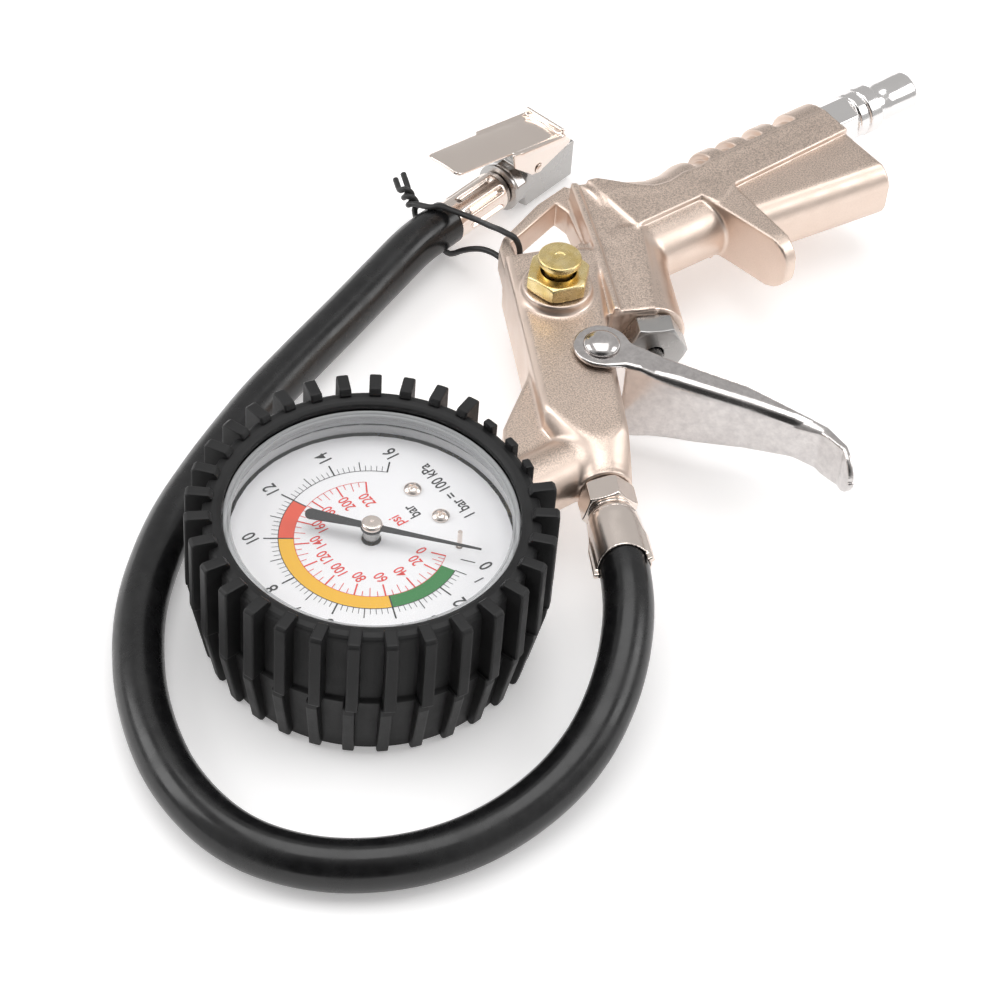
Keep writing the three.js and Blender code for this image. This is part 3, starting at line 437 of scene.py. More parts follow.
def surface_net(name, field, grid):
    """The quads of a distance field's zero surface."""
    field = field.astype(np.float32)
    inside = field < 0
    corners = [(i, j, k) for i in (0, 1) for j in (0, 1) for k in (0, 1)]
    shape = np.array(field.shape) - 1

    def part(a, i, j, k):
        return a[i:i + shape[0], j:j + shape[1], k:k + shape[2]]

    count = sum(part(inside, *c).astype(np.int8) for c in corners)
    cells = np.argwhere((count > 0) & (count < 8))
    number = np.full(shape, -1, np.int64)
    number[tuple(cells.T)] = np.arange(len(cells))
    total = np.zeros((len(cells), 3))
    hits = np.zeros(len(cells))
    for a in corners:
        for axis in range(3):
            if a[axis]:
                continue
            b = tuple(1 if n == axis else a[n] for n in range(3))
            fa = field[tuple((cells + a).T)]
            fb = field[tuple((cells + b).T)]
            crossed = (fa < 0) != (fb < 0)
            t = np.where(crossed, fa / np.where(crossed, fa - fb, 1), 0)
            point = np.array(a, float) + t[:, None] * (np.array(b) - np.array(a))
            total += np.where(crossed[:, None], point, 0)
            hits += crossed
    vertices = (cells + total / hits[:, None]) * grid.step + grid.low
    faces = []
    for axis in range(3):
        p, q = (axis + 1) % 3, (axis + 2) % 3
        ahead = [slice(None)] * 3
        behind = [slice(None)] * 3
        ahead[axis], behind[axis] = slice(1, None), slice(None, -1)
        low, high = inside[tuple(behind)], inside[tuple(ahead)]
        for solid_first, flip in ((low & ~high, False), (high & ~low, True)):
            at = np.argwhere(solid_first)
            at = at[(at[:, p] > 0) & (at[:, q] > 0)]
            at = at[(at[:, p] < shape[p]) & (at[:, q] < shape[q])]
            quad = []
            for dp, dq in ((1, 1), (0, 1), (0, 0), (1, 0)):
                c = at.copy()
                c[:, p] -= dp
                c[:, q] -= dq
                quad.append(number[tuple(c.T)])
            quad = np.stack(quad, 1)
            faces.append(quad[:, ::-1] if flip else quad)
    faces = np.concatenate(faces)
    mesh = bpy.data.meshes.new(name)
    mesh.from_pydata((vertices * MM).tolist(), [], faces.tolist())
    mesh.update()
    return mesh


def hexagon(x, y, across_flats, turn=0.0):
    """The distance to a hexagon's outline, in the plane across its axis."""
    best = None
    for k in range(3):
        a = turn + math.pi * k / 3
        d = np.abs(x * math.cos(a) + y * math.sin(a)) - across_flats / 2
        best = d if best is None else np.maximum(best, d)
    return best


def nut(name, across_flats, low, high, bore, turn=0.0, step=0.3, extra=None):
    """A chamfered hexagon nut about +Z."""
    half = across_flats * 0.6
    grid = Grid((-half, -half, low - 1), (half, half, high + 4), step)
    x, y, z = grid.x, grid.y, grid.z
    r = np.sqrt(x ** 2 + y ** 2)
    flat = hexagon(x, y, across_flats, turn)
    field = slab(flat, z, low, high, 0.25)
    for face in (z - high, low - z):
        chamfer = (r - across_flats * 0.5) * 0.5 + face * 0.87
        field = -blend(-field, -chamfer, 0.25)
    field = cut(field, r - bore, 0.3)
    if extra:
        field = extra(field, x, y, z, r)
    return surface_net(name, field, grid)


# --------------------------------------------------------------------- the hose
HOSE_RADIUS = 6.7
ROUTE = [
    barrel(OUTLET_U, -53.6), barrel(OUTLET_U, -60), barrel(OUTLET_U, -66),
    (-38.7, -62.6, 21.6), (-43.2, -69.4, 20.6), (-48.8, -76, 18.9), (-55.8, -82.6, 16.6),
    (-64.2, -88.6, 13.8), (-74.3, -93.8, 11), (-85.8, -97.4, 8.8), (-98.6, -99.2, 7.4),
    (-111, -99.2, 6.9), (-122, -97.5, 6.9), (-131.7, -94.3, 6.9), (-140.4, -89.8, 6.9),
    (-147.9, -84.2, 6.9), (-154.1, -77.6, 6.9), (-159, -70, 6.9), (-162.2, -61, 6.9),
    (-163.6, -50.6, 6.9), (-163.1, -39.2, 6.9), (-160.3, -26.8, 6.9), (-155.6, -14.3, 6.9),
    (-149.2, -2.4, 6.9), (-142, 8, 6.9), (-132.4, 18.4, 6.9), (-119, 29.9, 6.9),
    (-104.2, 39.4, 6.9), (-89.3, 47.7, 6.9), (-73.5, 55.7, 6.9), (-55.6, 63.2, 7),
    (-35.4, 71, 7.5), (-16, 78.6, 8.2), (-1.5, 83.9, 8.9), (11.6, 86.75, 9.1),
]


def through(points, between):
    """Points on a smooth curve through the points given, closer together."""
    p = [Vector(q) for q in points]
    p = [2 * p[0] - p[1], *p, 2 * p[-1] - p[-2]]
    result = []
    for a, b, c, d in zip(p, p[1:], p[2:], p[3:]):
        for k in range(between):
            t = k / between
            result.append(
                0.5 * (2 * b + (c - a) * t + (2 * a - 5 * b + 4 * c - d) * t ** 2
                       + (3 * b - a - 3 * c + d) * t ** 3)
            )
    result.append(p[-2])
    return result


def tube(name, points, radius, look, body, nodes, resolution=12):
    """A round tube as a curve of one open spline."""
    curve = bpy.data.curves.new(name, "CURVE")
    curve.dimensions = "3D"
    curve.bevel_depth = radius * MM
    curve.bevel_resolution = resolution
    curve.use_fill_caps = True
    spline = curve.splines.new("POLY")
    spline.points.add(len(points) - 1)
    for target, point in zip(spline.points, points):
        target.co = (*row(*point), 1.0)
    spline.use_smooth = True
    obj = bpy.data.objects.new(name, curve)
    bpy.context.collection.objects.link(obj)
    curve.materials.append(LOOK[look])
    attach(obj, body)
    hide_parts(*nodes)
    return obj


hose_line = through(ROUTE, 6)
hose = tube("hose_tube", hose_line, HOSE_RADIUS, "hose", "gun", ["hose"])

TIE_FROM = Vector((5, 94, 12.6))         # where the tie's tails start to be wound
TIE_TO = Vector((7, 102.5, 12.6))
TIE_WIND = 1.3                           # from the twist's middle to each tail's
TIE_TURNS = 1.25


def wound_tail(side):
    """One of the tie's two tails, wound round the other."""
    across = Vector((TIE_TO.y - TIE_FROM.y, TIE_FROM.x - TIE_TO.x, 0)).normalized()
    points = []
    for i in range(7):
        turn = math.pi / 2 + 2 * math.pi * TIE_TURNS * i / 6
        point = TIE_FROM.lerp(TIE_TO, i / 6)
        point += side * TIE_WIND * (across * math.cos(turn) + Vector((0, 0, math.sin(turn))))
        points.append(tuple(point))
    return points


TIE_LOOP = [
    (6.5, 88.7, 16), (8.6, 86, 17.2), (10.7, 81.4, 17.6), (12.3, 76.5, 18.4), (11.6, 70.6, 21.4),
    (10.2, 64.6, 25), (9.5, 59.6, 27.8), (9.7, 56.4, 28.7), (10.6, 53.6, 28.5), (11.3, 52.1, 26),
    (11.5, 51.6, 22), (11.4, 52.2, 17.6), (11.3, 54.6, 15.6), (11.6, 59, 15.2), (11.2, 63, 15),
    (10.3, 67, 14), (9.2, 70.6, 12), (8.5, 74.6, 8.6), (8.6, 78.4, 4.6), (9, 81.8, 1.9),
    (9.4, 86, 1.05), (8.6, 90.8, 1.9), (7.2, 94.8, 5),
]
tie_route = [(7.8, 107.9, 12), *reversed(wound_tail(1)), *TIE_LOOP, *wound_tail(-1), (10.5, 107.8, 13)]
tie = tube("hose_tie_wire", through(tie_route, 5), 0.9, "tie", "gun", ["hose_tie"], 3)


# ------------------------------------------------------------------ the casting
def back_centre(x):
    """How far back the grip's round back lies, along the grip."""
    at = [38, 41, 46, 50, 56, 62, 68, 73, 78, 130]
    y = [53.5, 52.5, 50.5, 47.5, 44.4, 43.8, 45.2, 44.8, 46, 46]
    return np.interp(x, at, y).astype(np.float32)


PANEL = [
    (40, 58.6), (40.4, 35.2), (64.1, 35.2), (66.5, 30), (76, 34), (122, 35.2), (122, 46), (76, 46),
    (72, 45.4), (66, 46), (60, 45), (55, 46), (50.5, 50), (46.5, 54.5), (43, 58),
]
HORN = [
    (62, 38), (64.1, 35.2), (65.9, 28), (67.4, 21), (69.6, 9.5), (70.6, 4), (71.6, 2.8), (73.8, 2.8),
    (74.6, 5), (74.8, 18), (75.2, 31), (75.6, 38),
]
LOWER = [(62, 42), (62, 30), (73, 20.2), (120, 14.5), (124, 14.5), (124, 42)]
BARREL_OUTLINE = [
    (-19.5, 42), (-19.5, -22), (-14, -36), (-13.8, -40), (1.9, -40), (2.4, -28), (4, 6), (6, 30),
    (9, 42), (-2, 44),
]
DECK = [
    (7.6, 15.9), (18.6, 15.9), (20.6, 34), (21.6, 49), (17.5, 58), (12.5, 69), (4.9, 69.6),
    (7, 42),
]
RIDGE = [(6.6, 15.9), (8.7, 15.9), (8.1, 42), (6.3, 69.6), (4.2, 69.6), (6, 42)]
GROOVES = [(71, 77), (82, 87), (91.4, 97.3), (102.8, 110)]
LOOP_OUTER = [
    (1, 44.6), (5.9, 54.4), (9.4, 57.4), (26.5, 63.8), (38, 66), (44, 58), (34, 40), (14, 38),
]
LOOP_HOLE = [(7.2, 46.6), (10.2, 54.4), (31.2, 60.8), (31.8, 56), (27.4, 44), (22, 42.6)]


def grip_field(x, y, z):
    """A raised panel, a round back with grooves, a horn, and a lower front."""
    low, high = MID_Z - 11, MID_Z + 11
    panel = slab(outline_distance(x, y, PANEL), z, low, high + 0.3, 0.5)
    centre = back_centre(x)
    off = np.sqrt((y - centre) ** 2 + (z - MID_Z) ** 2)
    back = np.maximum(off - 11, np.abs(x - 80) - 42)
    grip = blend(panel, back, 0.9)
    for start, end in GROOVES:
        trench = np.abs(x - (start + end) / 2) - (end - start) / 2
        trench = np.maximum(trench, 8.8 - off)
        trench = np.maximum(trench, (centre + 1.6) - y)
        grip = cut(grip, trench, 0.35)
    lower = outline_distance(x, y, LOWER)
    front = slab(lower, z, low + 1.5, high - 1.5, 6.6)
    shelf = slab(lower + 4.6, z, low + 1.5, high - 1.5, 0.6)
    grip = np.minimum(grip, blend(front, shelf, 1.0))
    edge = outline_distance(x, y, HORN)
    horn = np.maximum(slab(edge, z, 15, high, 0.5), slab(3.2 - y, z, 15, high, 8.4))
    return blend(grip, horn, 0.5)


def casting_field(g):
    """The whole casting: grip, neck, housing, barrel, bosses, collar and loop."""
    x, y, z = g.x, g.y, g.z
    c, s = math.cos(TURN), math.sin(TURN)
    u, v = x * c + y * s, y * c - x * s
    low, high = MID_Z - 11, MID_Z + 11
    neck = rod(x, y, z, (30, 35.0, MID_Z), (69, 34.6, MID_Z), 9.7, 2.0)
    # Valve housing and barrel.
    housing = rod(u, v, z, (VALVE_U, 16, MID_Z), (VALVE_U, 50, MID_Z), 10.1, 0.5)
    deck = slab(outline_distance(u, v, DECK), z, low + 0.8, high - 0.95, 0.7)
    housing = blend(housing, deck, 1.6)
    ridge = slab(outline_distance(u, v, RIDGE), z, MID_Z, high + 0.2, 0.7)
    housing = blend(housing, ridge, 0.8)
    shank = slab(outline_distance(u, v, BARREL_OUTLINE), z, low, high, 2.6)
    outlet_off = np.sqrt((u - OUTLET_U) ** 2 + (z - MID_Z) ** 2)
    taper = (outlet_off - 7.7 - (v + 40) * 0.42) * 0.92
    shank = -blend(-shank, -taper, 0.7)
    web = slab(outline_distance(u, v, [(2, 16), (11, 16), (11, 46), (2, 46)]), z, 13, 31, 0.4)
    whole = blend(grip_field(x, y, z), neck, 1.0)
    whole = blend(whole, housing, 1.4)
    whole = blend(whole, shank, 0.8)
    whole = blend(whole, web, 1.2)
    # Bosses, gusset and collar.
    gauge_boss = rod(x, y, z, (-48, -22.9, MID_Z), (-18, -22.9, MID_Z), 8.6, 0.7)
    gusset = [(-13, 12), (-36, -4.5), (-44, -16), (-20, -16)]
    gusset = slab(outline_distance(x, y, gusset), z, MID_Z - 5, MID_Z + 5, 0.9)
    whole = blend(whole, blend(gauge_boss, gusset, 1.2), 1.4)
    bleed = rod(x, y, z, (*BLEED, MID_Z), (*BLEED, 36), 9.8, 0.5)
    whole = blend(whole, bleed, 1.8)
    collar = rod(u, v, z, (OUTLET_U, -28, MID_Z), (OUTLET_U, -42, MID_Z), 7.6, 0.6)
    whole = blend(whole, collar, 0.9)
    # The hanging loop and its window.
    loop = slab(outline_distance(x, y, LOOP_OUTER), z, 17.5, 26.5, 1.0)
    whole = blend(whole, loop, 0.8)
    window = slab(outline_distance(x, y, LOOP_HOLE), z, 12, 33, 0.5)
    whole = cut(whole, window, 0.8)
    whole = np.maximum(whole, x - 120)
    # The bores that show.  The inlet's stops short of the last finger groove.
    for start, end, radius in (
        ((*BLEED, 30), (*BLEED, 50), 6.1),
        ((112, INLET_Y, MID_Z), (130, INLET_Y, MID_Z), 6.4),
        (barrel(VALVE_U, 0), barrel(VALVE_U, 44), 6.4),
        (barrel(OUTLET_U, -50), barrel(OUTLET_U, -33), 6.3),
        ((-60, -22.9, MID_Z), (-33, -22.9, MID_Z), 6.4),
    ):
        whole = np.maximum(whole, -rod(x, y, z, start, end, radius))
    return whole


body_grid = Grid((-50, -46, 9), (124, 70, 38), 0.45)
piece("gun_casting", surface_net("gun_casting", casting_field(body_grid), body_grid),
      "casting", "gun", nodes=["gun_body"])


# ------------------------------------------------------------------ the trigger
TRIGGER_SIDE = [
    (0, -6.8), (7.4, 0), (13, 2.4), (17, 5.2), (26, 10), (38, 15.8), (45, 21.2), (51, 26),
    (57, 31.4), (60.6, 38.4), (61.2, 47), (59.6, 47.2), (59, 39.8), (54.6, 33.2), (48, 28.7),
    (37, 23), (24, 17.5), (13, 12.3), (5.2, 8.6), (0, 7.2),
]
TRIGGER_HOLLOW = [
    (-20, -20), (60, -20), (60, 20), (54, 30.4), (48.8, 27.3), (37.6, 21.5), (24.6, 16),
    (13.6, 10.8), (5.4, 7.3), (4.6, 30), (-20, 30),
]
# Everything on the open side of the web's outer face.
WEB_SIDE = [
    (-20, -30), (80, -30), (80, 60), (59.6, 60), (59.6, 47.2), (59, 39.8), (54.6, 33.2), (48, 28.7),
    (37, 23), (24, 17.5), (13, 12.3), (5.2, 8.6), (-20, 8.6),
]


def trigger_field(g):
    """A pressed channel round a web, with an eye at the rivet and a tongue."""
    x, y, z = g.x, g.y, g.z
    side = outline_distance(x, -y, TRIGGER_SIDE)
    eye = np.sqrt(x ** 2 + y ** 2) - 7.8
    side = blend(side, eye, 2.0)
    half = np.interp(x, [-12, 9, 13, 25, 38, 49, 62], [13.4, 13.4, 12.3, 11.0, 9.2, 7.8, 6.8])
    # The tip is a rounded tongue.
    tongue = np.clip((-y - 38.6) / 8.0, 0, 0.99)
    half = half * np.sqrt(1 - tongue ** 2)
    # The cheeks turn into the web on a wide fold; their open edges stay sharp.
    fold = np.interp(x, [8, 18, 62], [1.4, 3.2, 3.6]) * np.interp(-y, [29, 35], [1, 0.1])
    up = np.abs(z - MID_Z) - half
    hollow = outline_distance(x, -y, TRIGGER_HOLLOW)
    web = outline_distance(x, -y, WEB_SIDE)
    outer = np.maximum(rounded_box(web, up, fold), rounded_box(side, up, 0.35))
    inner = rounded_box(hollow, up + 1.4, fold * 0.7)
    field = cut(outer, inner, 0.3)
    return np.maximum(field, 2.8 - np.sqrt(x ** 2 + y ** 2))


trigger_grid = Grid((-10, -50, 7), (63, 10, 37), 0.35)
channel = surface_net("trigger_channel", trigger_field(trigger_grid), trigger_grid)
piece("trigger_channel", channel, "pressed", "trigger", BARREL, ["trigger_lever"])


def rivet_mesh():
    dome = [(2.5, 35.7), (5.1, 35.7), (5.0, 36.2), (4.4, 36.8), (3.2, 37.4), (1.7, 37.7), (0, 37.8)]
    foot = [(r, 2 * MID_Z - z) for r, z in reversed(dome)]
    return lathe("rivet", foot + dome, 48)


piece("rivet_domed", rivet_mesh(), "pressed", "gun", HINGE, ["trigger_rivet"])

# -------------------------------------------------------------- valves and nuts
piece("bleed_hexagon", nut("bleed_hexagon", 16.0, 36.3, 41.4, 5.0, math.radians(14), 0.25),
      "brass", "gun", BUTTON, ["bleed_nut"])
piece("bleed_knob", turned("bleed_knob", [
    (0, 33.6), (2.2, 33.6), (2.2, 38.4), (4.4, 38.6), (4.4, 44.2), (6, 44.5), (6, 46.1), (5.7, 46.4),
    (1.6, 46.4), (1.4, 46.2), (0, 46.2),
], 0.25), "brass", "bleed_button", BUTTON, ["bleed_button"])


def coil_mesh(radius, wire, low, high, turns, steps=64, sides=8):
    """A round wire wound about the frame's axis."""
    vertices, faces = [], []
    for i in range(steps + 1):
        turn = 2 * math.pi * turns * i / steps
        for j in range(sides):
            around = 2 * math.pi * j / sides
            r = radius + wire * math.cos(around)
            level = low + (high - low) * i / steps + wire * math.sin(around)
            vertices.append((r * math.cos(turn), r * math.sin(turn), level))
    for i in range(steps):
        for j in range(sides):
            a, b = i * sides + j, i * sides + (j + 1) % sides
            faces.append([a, a + sides, b + sides, b])
    faces.append(list(range(sides)))
    faces.append([steps * sides + j for j in reversed(range(sides))])
    return mesh_from("coil", vertices, faces)


spring = piece("bleed_coil", coil_mesh(3.2, 0.3, 33.7, 37.7, 2), "steel", "gun", BUTTON, ["bleed_spring"])
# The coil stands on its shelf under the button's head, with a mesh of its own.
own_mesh(spring)
piece("gland_hexagon", nut("gland_hexagon", 16.6, 0.3, 7.5, 2.5, 0.0, 0.25),
      "steel", "gun", GLAND, ["valve_gland_nut"])
piece("stem_rod", turned("stem_rod", [
    (0, -12), (2.1, -12), (2.1, 26.6), (1.4, 28.1), (0, 28.2),
], 0.3, 32), "steel", "valve_stem", GLAND, ["valve_stem"])


def plug_mesh():
    """The inlet nipple: a hexagon, two collars and a flared end."""
    grid = Grid((-8.5, -8.5, -1), (8.5, 8.5, 44), 0.3)
    x, y, z = grid.x, grid.y, grid.z
    r = np.sqrt(x ** 2 + y ** 2)
    at = [12.8, 13.3, 13.6, 14, 17, 17.3, 17.7, 22.2, 22.7, 24.8, 27, 34, 36.9, 37.5]
    radius = [7.5, 6.5, 6.5, 7, 7, 6.5, 7.4, 7.4, 5.6, 5.6, 6, 6.25, 6.25, 5.8]
    body = (r - np.interp(z, at, radius)) * 0.85
    hexed = np.maximum(hexagon(x, y, 13.2, math.radians(20)), z - 12.8)
    inlet = np.maximum(body, np.where(z < 12.9, hexed, -9.0))
    inlet = np.maximum(inlet, np.maximum(0.4 - z, z - 37.5))
    return surface_net("plug", cut(inlet, r - 2.6, 0.4), grid)


piece("inlet_nipple", plug_mesh(), "chrome", "gun", PLUG, ["inlet_plug"])

# -------------------------------------------------------- the hose's gun-side end
SEAMS = (math.radians(-86), math.radians(124))      # where the ferrule is pinched


def barb(field, x, y, z, r):
    """The fitting's round neck between its hexagon and the ferrule."""
    neck = np.maximum(r - 5.9, np.maximum(4 - z, z - 9.6))
    return np.maximum(blend(field, neck, 0.3), 2.4 - r)


piece("fitting_hexagon", nut("fitting_hexagon", 13.6, 0.3, 7.8, 2.4, 0.3, 0.25, barb),
      "nickel", "gun", OUTLET, ["hose_fitting"])


def crimped_ferrule():
    """A pressed sleeve with broad lobes, two pinched seams and a wavy lower edge."""
    grid = Grid((-9, -9, 5.5), (9, 9, 30), 0.25)
    x, y, z = grid.x, grid.y, grid.z
    r, a = np.sqrt(x ** 2 + y ** 2), np.arctan2(y, x)
    swell = np.interp(z, [8, 9, 10.5, 13, 27], [5.6, 6.3, 6.95, 7.25, 7.35])
    lobes = 0.16 * np.cos(3 * a + 0.6) * np.interp(z, [11, 16], [0, 1])
    outer = r - swell - lobes
    hem = 26 + 0.9 * np.cos(2 * (a - SEAMS[0]))
    field = np.maximum(outer, np.maximum(8 - z, z - hem))
    # The seams stand out to either side and hang a little lower.
    for turn in SEAMS:
        along = x * math.cos(turn) + y * math.sin(turn)
        beside = y * math.cos(turn) - x * math.sin(turn)
        rise = along - np.interp(z, [14, 20, 28], [6.9, 8.3, 8.5])
        fin = np.maximum(np.maximum(np.abs(beside) - 0.8, rise), 6 - along)
        field = blend(field, slab(fin, z, 14, 29, 0.3), 0.7)
    inner = np.maximum(r - 6.78, 10.9 - z)
    return surface_net("ferrule", np.maximum(cut(field, inner, 0.2), 3 - r), grid)


piece("ferrule_crimped", crimped_ferrule(), "nickel", "gun", OUTLET, ["gun_ferrule"])


# --------------------------------------------------------------------- the boot
RIBS, STUBS = 32, 3
UPPER_RIB = [
    (41.6, 21.4), (47.4, 21.4), (47.4, 45.4), (46.6, 46.2), (41.2, 46.2), (40.2, 44.8), (40.8, 42.6),
    (41.6, 42),
]
LOWER_RIB = [(41.0, 0.5), (42.4, 0.1), (43.4, 1.2), (46.9, 19.6), (46.9, 22), (41.6, 22)]
STUB = [(41.6, 37), (43.9, 38), (43.9, 45.6), (43.3, 46.2), (41.6, 46.2)]


def rib_angle(i):
    """Where a rib stands; they lean towards the gap that the stem comes through."""
    turn = 2 * math.pi * i / RIBS
    return math.radians(18.4 + 2.7 * math.cos(turn)) + turn


def bevelled(mesh, width, segments=2):
    """The mesh with its sharp edges bevelled."""
    work = bmesh.new()
    work.from_mesh(mesh)
    bmesh.ops.remove_doubles(work, verts=work.verts, dist=1e-7)
    sharp = [e for e in work.edges if e.is_manifold and e.calc_face_angle() > 0.35]
    bmesh.ops.bevel(work, geom=sharp, offset=width * MM, segments=segments, affect="EDGES",
                    profile=0.6, clamp_overlap=True)
    work.to_mesh(mesh)
    work.free()
    return mesh


def rib_mesh(side, half, shift=0.0):
    """A fin from its side outline, [radius, z], its half-thickness and sideways shift."""
    vertices = [(r, t + shift, z) for t in (-half, half) for r, z in side]
    n = len(side)
    faces = [list(range(n)), list(range(2 * n - 1, n - 1, -1))]
    faces += [[i, i + n, (i + 1) % n + n, (i + 1) % n] for i in range(n)]
    mesh = mesh_from("rib", vertices, faces)
    work = bmesh.new()
    work.from_mesh(mesh)
    bmesh.ops.recalc_face_normals(work, faces=work.faces)
    work.to_mesh(mesh)
    work.free()
    return bevelled(mesh, 0.5)


def boot_mesh():
    """A cup with a rolled rim, and its fins."""
    wall = bevelled(lathe("boot_wall", [
        (0, 0.3), (41.2, 0.3), (43.8, 20.4), (43.9, 21.0), (43.5, 21.6), (42.9, 22), (42.9, 42.6),
        (42.6, 43.4), (41.8, 43.9), (40.4, 44.2), (39.0, 44.0), (38.0, 43.4), (37.75, 42.8),
        (37.75, 42.2), (41, 42.2), (41, 3), (0, 3),
    ], 160), 0.25)
    # The upper and lower halves of a rib meet at a small step.
    upper, lower, stub = rib_mesh(UPPER_RIB, 1.6), rib_mesh(LOWER_RIB, 1.5, -0.8), rib_mesh(STUB, 1.6)
    work = bmesh.new()
    work.from_mesh(wall)
    for i in range(RIBS):
        ribs = [stub] if i >= RIBS - STUBS else [upper, lower]
        for rib in ribs:
            copy = rib.copy()
            copy.transform(Matrix.Rotation(rib_angle(i), 4, "Z"))
            work.from_mesh(copy)
    mesh = bpy.data.meshes.new("boot")
    work.to_mesh(mesh)
    work.free()
    return mesh


piece("boot_ribbed", boot_mesh(), "rubber", "gun", GAUGE, ["gauge_boot"], smooth=False)

# ------------------------------------------------------------- lens and its rims
piece("lens_disc", turned("lens_disc", [
    (0, 40.6), (35.6, 40.6), (35.6, 41.4), (0, 41.4),
], 0.2, 160), "lens", "gun", GAUGE, ["gauge_lens"])
piece("lens_rim", turned("lens_rim", [
    (35.65, 40.4), (36.3, 39.4), (36.5, 37.9), (37.6, 37.9), (37.6, 41.8), (37.1, 41.9), (36.7, 41.7),
    (36.5, 41.3), (36.2, 41.6), (35.9, 41.5), (35.65, 41.2), (35.65, 40.4),
], 0.2, 160), "rim", "gun", GAUGE, ["gauge_lens"])
piece("dial_liner", turned("dial_liner", [
    (37.2, 33.9), (38.6, 33.9), (38.6, 37.6), (38.1, 37.6), (37.7, 36.6), (37.4, 36.4), (37.2, 33.9),
], 0.2, 160), "liner", "gun", GAUGE)


# --------------------------------------------------------------------- the dial
PLATE_TOP = 33.5
ZERO = math.radians(-50.8)
ONE_BAR = math.radians(-60.7)
PER_BAR = math.radians(-16.93)
PSI_PER_BAR = 14.504


def bar_angle(value):
    """Where a pressure in bar lies; the first bar is short, as on the dial."""
    if value < 1:
        return ZERO + (ONE_BAR - ZERO) * value
    return ONE_BAR + PER_BAR * (value - 1)


def psi_angle(value):
    return bar_angle(value / PSI_PER_BAR)


class Print:
    """Thin ink shapes on the dial, gathered into one mesh."""

    def __init__(self, name, look, z):
        self.name, self.look, self.z = name, look, z
        self.vertices, self.faces = [], []

    def quad(self, points):
        start = len(self.vertices)
        self.vertices += [(x, y, self.z) for x, y in points]
        self.faces.append(list(range(start, start + len(points))))

    def tick(self, angle, inner, outer, width):
        along = Vector((math.cos(angle), math.sin(angle)))
        side = Vector((-along.y, along.x)) * width / 2
        corners = (along * inner - side, along * outer - side, along * outer + side,
                   along * inner + side)
        self.quad([tuple(p) for p in corners])

    def arc(self, start, end, inner, outer, steps=60):
        for i in range(steps):
            a = start + (end - start) * i / steps
            b = start + (end - start) * (i + 1) / steps
            self.quad([(outer * math.cos(b), outer * math.sin(b)),
                       (outer * math.cos(a), outer * math.sin(a)),
                       (inner * math.cos(a), inner * math.sin(a)),
                       (inner * math.cos(b), inner * math.sin(b))])

    def word(self, text, x, y, size, squeeze=0.72):
        """Lettering whose foot points at the stem, centred on a point."""
        curve = bpy.data.curves.new("word", "FONT")
        curve.body = text
        curve.size = size
        curve.offset = 0.012 * size
        curve.align_x = "CENTER"
        curve.align_y = "CENTER"
        obj = bpy.data.objects.new("word", curve)
        bpy.context.collection.objects.link(obj)
        bpy.context.view_layer.update()
        mesh = obj.to_mesh()
        start = len(self.vertices)
        self.vertices += [(x - v.co.y, y + v.co.x * squeeze, self.z) for v in mesh.vertices]
        self.faces += [[start + i for i in p.vertices] for p in mesh.polygons]
        bpy.data.objects.remove(obj)

    def label(self, text, angle, radius, size):
        self.word(text, radius * math.cos(angle), radius * math.sin(angle), size)

    def finish(self):
        mesh = mesh_from(self.name, self.vertices, self.faces)
        return piece(self.name, mesh, self.look, "gun", GAUGE, smooth=False)


def bar_scale():
    """The black outer scale, longer marks at even bars."""
    ink = Print("dial_bar_scale", "black", PLATE_TOP + 0.06)
    ink.arc(bar_angle(1), bar_angle(16), 23.55, 23.75, 120)
    for fifth in range(5, 81):
        value = fifth / 5
        whole = fifth % 5 == 0
        major = whole and value % 2 == 0
        length = 3.8 if major else 3.2 if whole else 1.9
        width = 0.42 if major else 0.26 if whole else 0.16
        ink.tick(bar_angle(value), 23.6, 23.6 + length, width)
    ink.tick(bar_angle(0), 23.6, 27.4, 0.3)
    for value in (4, 10, 12):
        ink.tick(bar_angle(value), 19.7, 24, 0.36)
    for value in (0, 1, 2, 3, 4, 5, 6, 7, 8, 10, 12, 14, 16):
        size = 5.3 if value % 2 == 0 else 4.0
        ink.label(str(value), bar_angle(value), 30.4, size)
    ink.word("bar", 14.1, 1.9, 4.6)
    ink.word("1 bar = 100 kPa", 25.9, 2.9, 4.7)
    ink.finish()


def psi_scale():
    """The red inner scale, numbered every 20 psi."""
    ink = Print("dial_psi_scale", "red", PLATE_TOP + 0.06)
    ink.arc(psi_angle(0), psi_angle(220), 19.6, 19.75, 120)
    for value in range(0, 221, 5):
        length = 3.9 if value % 20 == 0 else 2.9 if value % 10 == 0 else 1.7
        width = 0.42 if value % 20 == 0 else 0.2
        ink.tick(psi_angle(value), 19.7 - length, 19.7, width)
    for value in range(0, 221, 20):
        ink.label(str(value), psi_angle(value), 13.4, 4.2)
    ink.word("psi", 9.0, 1.3, 4.6)
    ink.finish()


def colour_bands():
    for look, start, end in (("green", 1, 4), ("yellow", 4, 10), ("orange", 10, 12)):
        ink = Print(f"dial_band_{look}", look, PLATE_TOP + 0.03)
        ink.arc(bar_angle(start), bar_angle(end), 19.7, 23.6, 60)
        ink.finish()


bar_scale()
psi_scale()
colour_bands()


